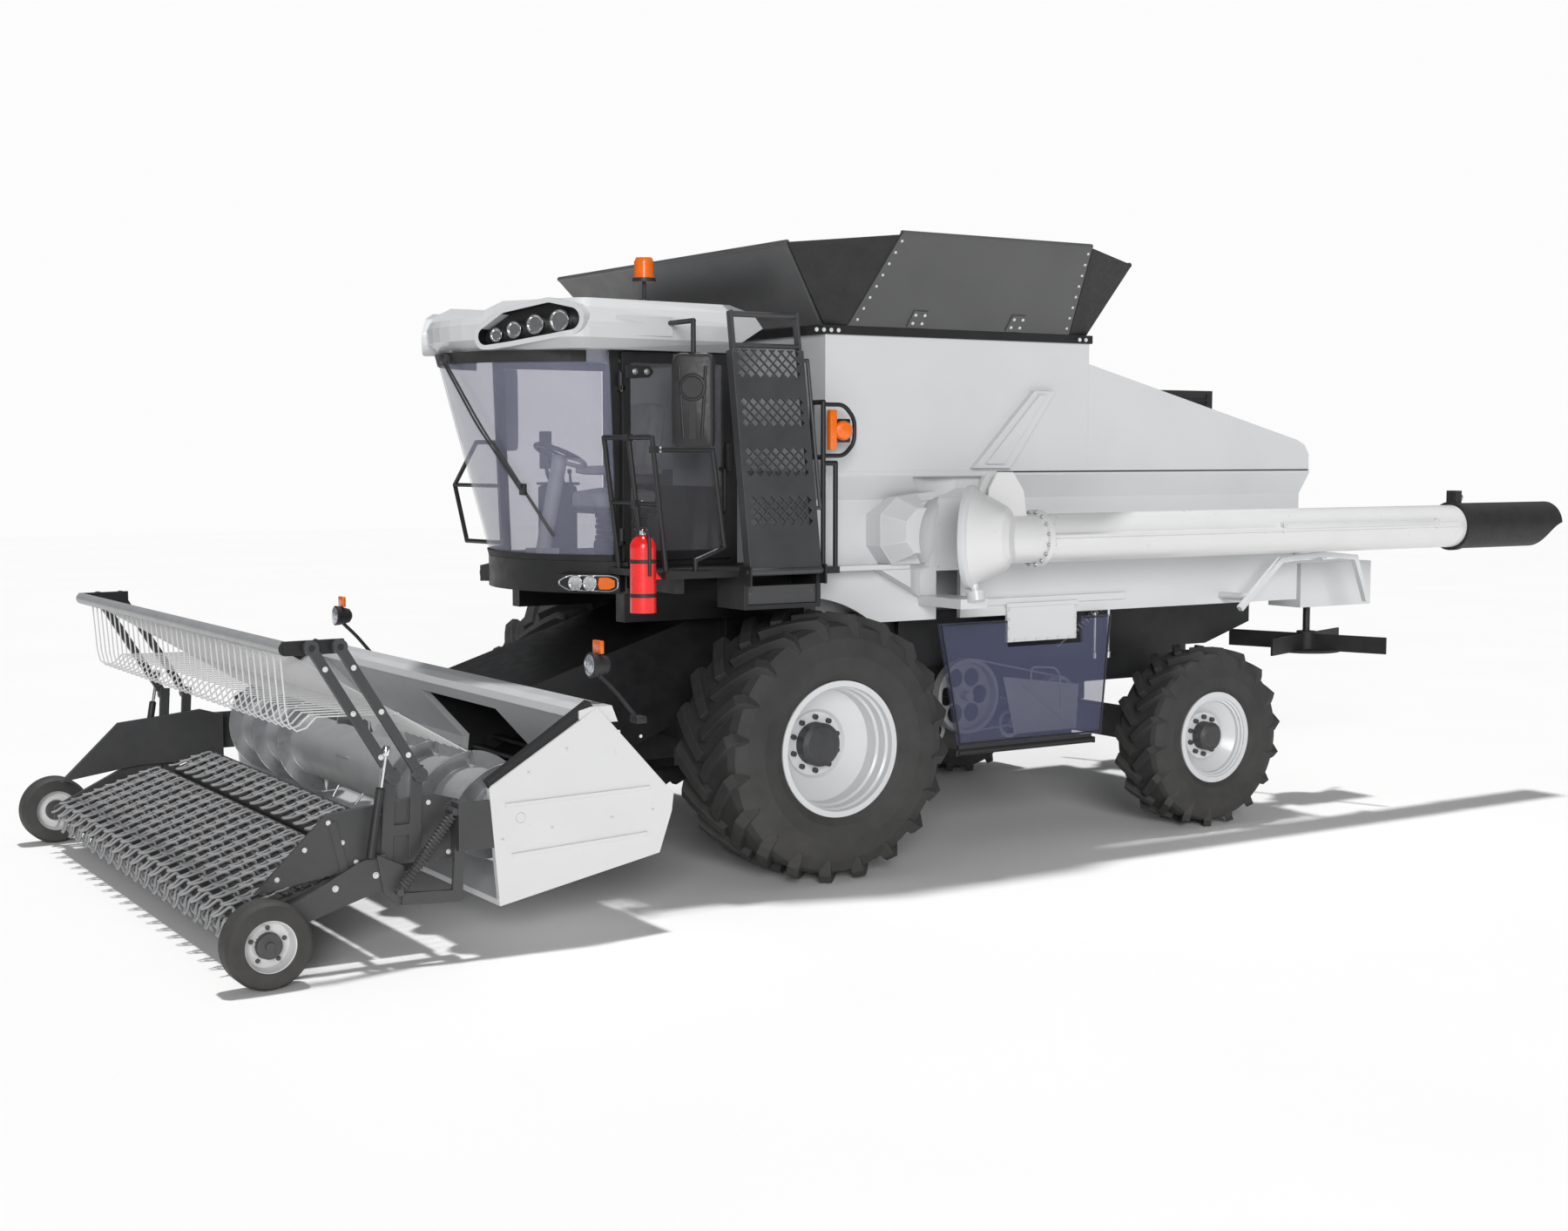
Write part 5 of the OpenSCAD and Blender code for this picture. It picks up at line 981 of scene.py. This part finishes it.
# Driver's seat: sewn cushions on a pedestal, with console and screen.
def cushion(name, a, b, crown, lean=None):
    """Padded block: crowned faces, sides pulled in between the corners, a sewn channel across."""
    bm = bmesh.new()
    bmesh.ops.create_cube(bm, size=2)
    bmesh.ops.subdivide_edges(bm, edges=bm.edges[:], cuts=15, use_grid_fill=True)
    size = (b - a)/2
    for vert in bm.verts:
        x, y, z = vert.co
        fx, fy, fz = 1 - x**2, 1 - y**2, 1 - z**2
        soft = (abs(x)**6 + abs(y)**6 + abs(z)**6)**(1/6)
        x, y, z = x/soft, y/soft, z/soft
        channel = math.exp(-((abs(y) - 0.55)/0.06)**2)*0.10
        if lean is None:
            z *= 1 + (crown*fx*fy - channel*fx)/max(size.z, 0.01)*0.5
        else:
            x *= 1 + (crown*fz*fy - channel*fz)/max(size.x, 0.01)*0.5
        y *= 1 - 0.03*fx*fz
        vert.co = Vector((x*size.x, y*size.y, z*size.z))
    m = Matrix.Translation((a + b)/2)
    if lean is not None:
        m = m @ Matrix.Rotation(lean, 4, "Y")
    bmesh.ops.transform(bm, matrix=m, verts=bm.verts)
    mesh = bpy.data.meshes.new(name)
    bm.to_mesh(mesh)
    bm.free()
    obj = bpy.data.objects.new(name, mesh)
    bpy.context.scene.collection.objects.link(obj)
    mesh.materials.append(M["seat_grey"])
    mesh.shade_smooth()
    smooth = obj.modifiers.new("smooth", "SUBSURF")
    smooth.levels = smooth.render_levels = 1
    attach(obj, "machine")
    return obj


def C(x, y, z):
    """A point in the cab, with its height given from the cab floor."""
    return P(x, y, CAB_FLOOR + z)


seat_base = cushion("seat_cushion", C(0.43, -0.265, 0.335), C(0.945, 0.265, 0.465), 0.05)
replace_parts(seat_base, "seat")
cushion("seat_back", C(0.42, -0.245, 0.50), C(0.52, 0.245, 1.10), 0.05, math.radians(-8))
ARM_Y, ARM_HALF = 0.32, 0.032
for side, s in zip(("left", "right"), SIDES):
    y = s*ARM_Y
    cushion(f"seat_arm_{side}", C(0.48, y - ARM_HALF, 0.585), C(0.84, y + ARM_HALF, 0.635), 0.02)
FOLD = 0.04
pedestal = Piece("seat_pedestal", "machine", "plastic")
pedestal.block(C(0.49, -0.17, 0.002), C(0.79, 0.17, 0.10), 0.02)
for k in range(5):
    inset, z = 0.008*(k % 2), 0.10 + k*FOLD
    pedestal.block(C(0.50 + inset, -0.16, z), C(0.78 - inset, 0.16, z + 0.038), 0.012)
pedestal.block(C(0.46, -0.24, 0.30), C(0.90, 0.24, 0.336), 0.01)
for s in SIDES:
    pedestal.sweep([C(0.50, s*0.23, 0.31), C(0.50, s*0.30, 0.40), C(0.52, s*ARM_Y, 0.59)], 0.016)
pedestal.block(C(0.77, -0.69, 0.002), C(0.99, -0.43, 0.50), 0.03)
pedestal.block(C(0.75, -0.68, 0.50), C(1.0, -0.44, 0.52), 0.008)
pedestal.sweep([C(0.93, -0.56, 0.51), C(0.97, -0.56, 0.60), C(0.97, -0.56, 0.70)], 0.014)
pedestal.block(C(0.960, -0.64, 0.62), C(0.992, -0.48, 0.90), 0.008)
LEVER = [(0, 0.012), (0.06, 0.008), (0.07, 0.016), (0.09, 0.018), (0.10, 0.010)]
for k in range(3):
    pedestal.turned(C(0.80 + 0.06*k, -0.50, 0.52), Vector((0.1, 0, 1)), LEVER, 14)
pedestal.done()
screen = Piece("monitor_screen", "machine", "lens", "glass")
screen.block(C(0.9585, -0.63, 0.635), C(0.9615, -0.49, 0.885), 0.001)
screen.done()

# Every CAD node keeps its shape; its edges are smoothed in shading.
for obj in NODES.values():
    obj.data.shade_smooth()
    obj.data.set_sharp_from_angle(angle=math.radians(28))

# Floor, world and lamps.
bm = bmesh.new()
bmesh.ops.create_grid(bm, x_segments=24, y_segments=24, size=60)
mesh = bpy.data.meshes.new("floor")
bm.to_mesh(mesh)
bm.free()
floor = bpy.data.objects.new("floor", mesh)
floor.location.z = -0.002
bpy.context.scene.collection.objects.link(floor)
m, nodes, links, bsdf = new_material("floor")
coord = nodes.new("ShaderNodeTexCoord").outputs["Object"]
PALE = [(0.3, (0.925, 0.92, 0.915)), (0.7, (0.94, 0.935, 0.93))]
links.new(ramp(nodes, links, noise(nodes, links, coord, 0.4), PALE), bsdf.inputs["Base Color"])
bsdf.inputs["Roughness"].default_value = 0.9
bsdf.inputs["Specular IOR Level"].default_value = 0.1
mesh.materials.append(m)

world = bpy.data.worlds.new("studio")
world.use_nodes = True
bpy.context.scene.world = world
nodes, links = world.node_tree.nodes, world.node_tree.links
nodes.clear()
path = nodes.new("ShaderNodeLightPath")
white = nodes.new("ShaderNodeBackground")
white.inputs["Color"].default_value = (1, 1, 1, 1)
white.inputs["Strength"].default_value = 0.975
soft = nodes.new("ShaderNodeBackground")
soft.inputs["Color"].default_value = (0.95, 0.97, 1.0, 1)
soft.inputs["Strength"].default_value = 0.17
mix = nodes.new("ShaderNodeMixShader")
out = nodes.new("ShaderNodeOutputWorld")
links.new(path.outputs["Is Camera Ray"], mix.inputs["Fac"])
links.new(soft.outputs[0], mix.inputs[1])
links.new(white.outputs[0], mix.inputs[2])
links.new(mix.outputs[0], out.inputs["Surface"])


def sun(name, direction, strength, angle):
    data = bpy.data.lights.new(name, "SUN")
    data.energy = strength
    data.angle = math.radians(angle)
    lamp = bpy.data.objects.new(name, data)
    lamp.rotation_euler = Vector(direction).to_track_quat("-Z", "Y").to_euler()
    bpy.context.scene.collection.objects.link(lamp)


sun("key", (0.10, 0.12, -1.0), 2.36, 4)
sun("fill", (-0.45, -0.85, -0.28), 1.8, 24)
bpy.context.scene.view_settings.view_transform = "Standard"
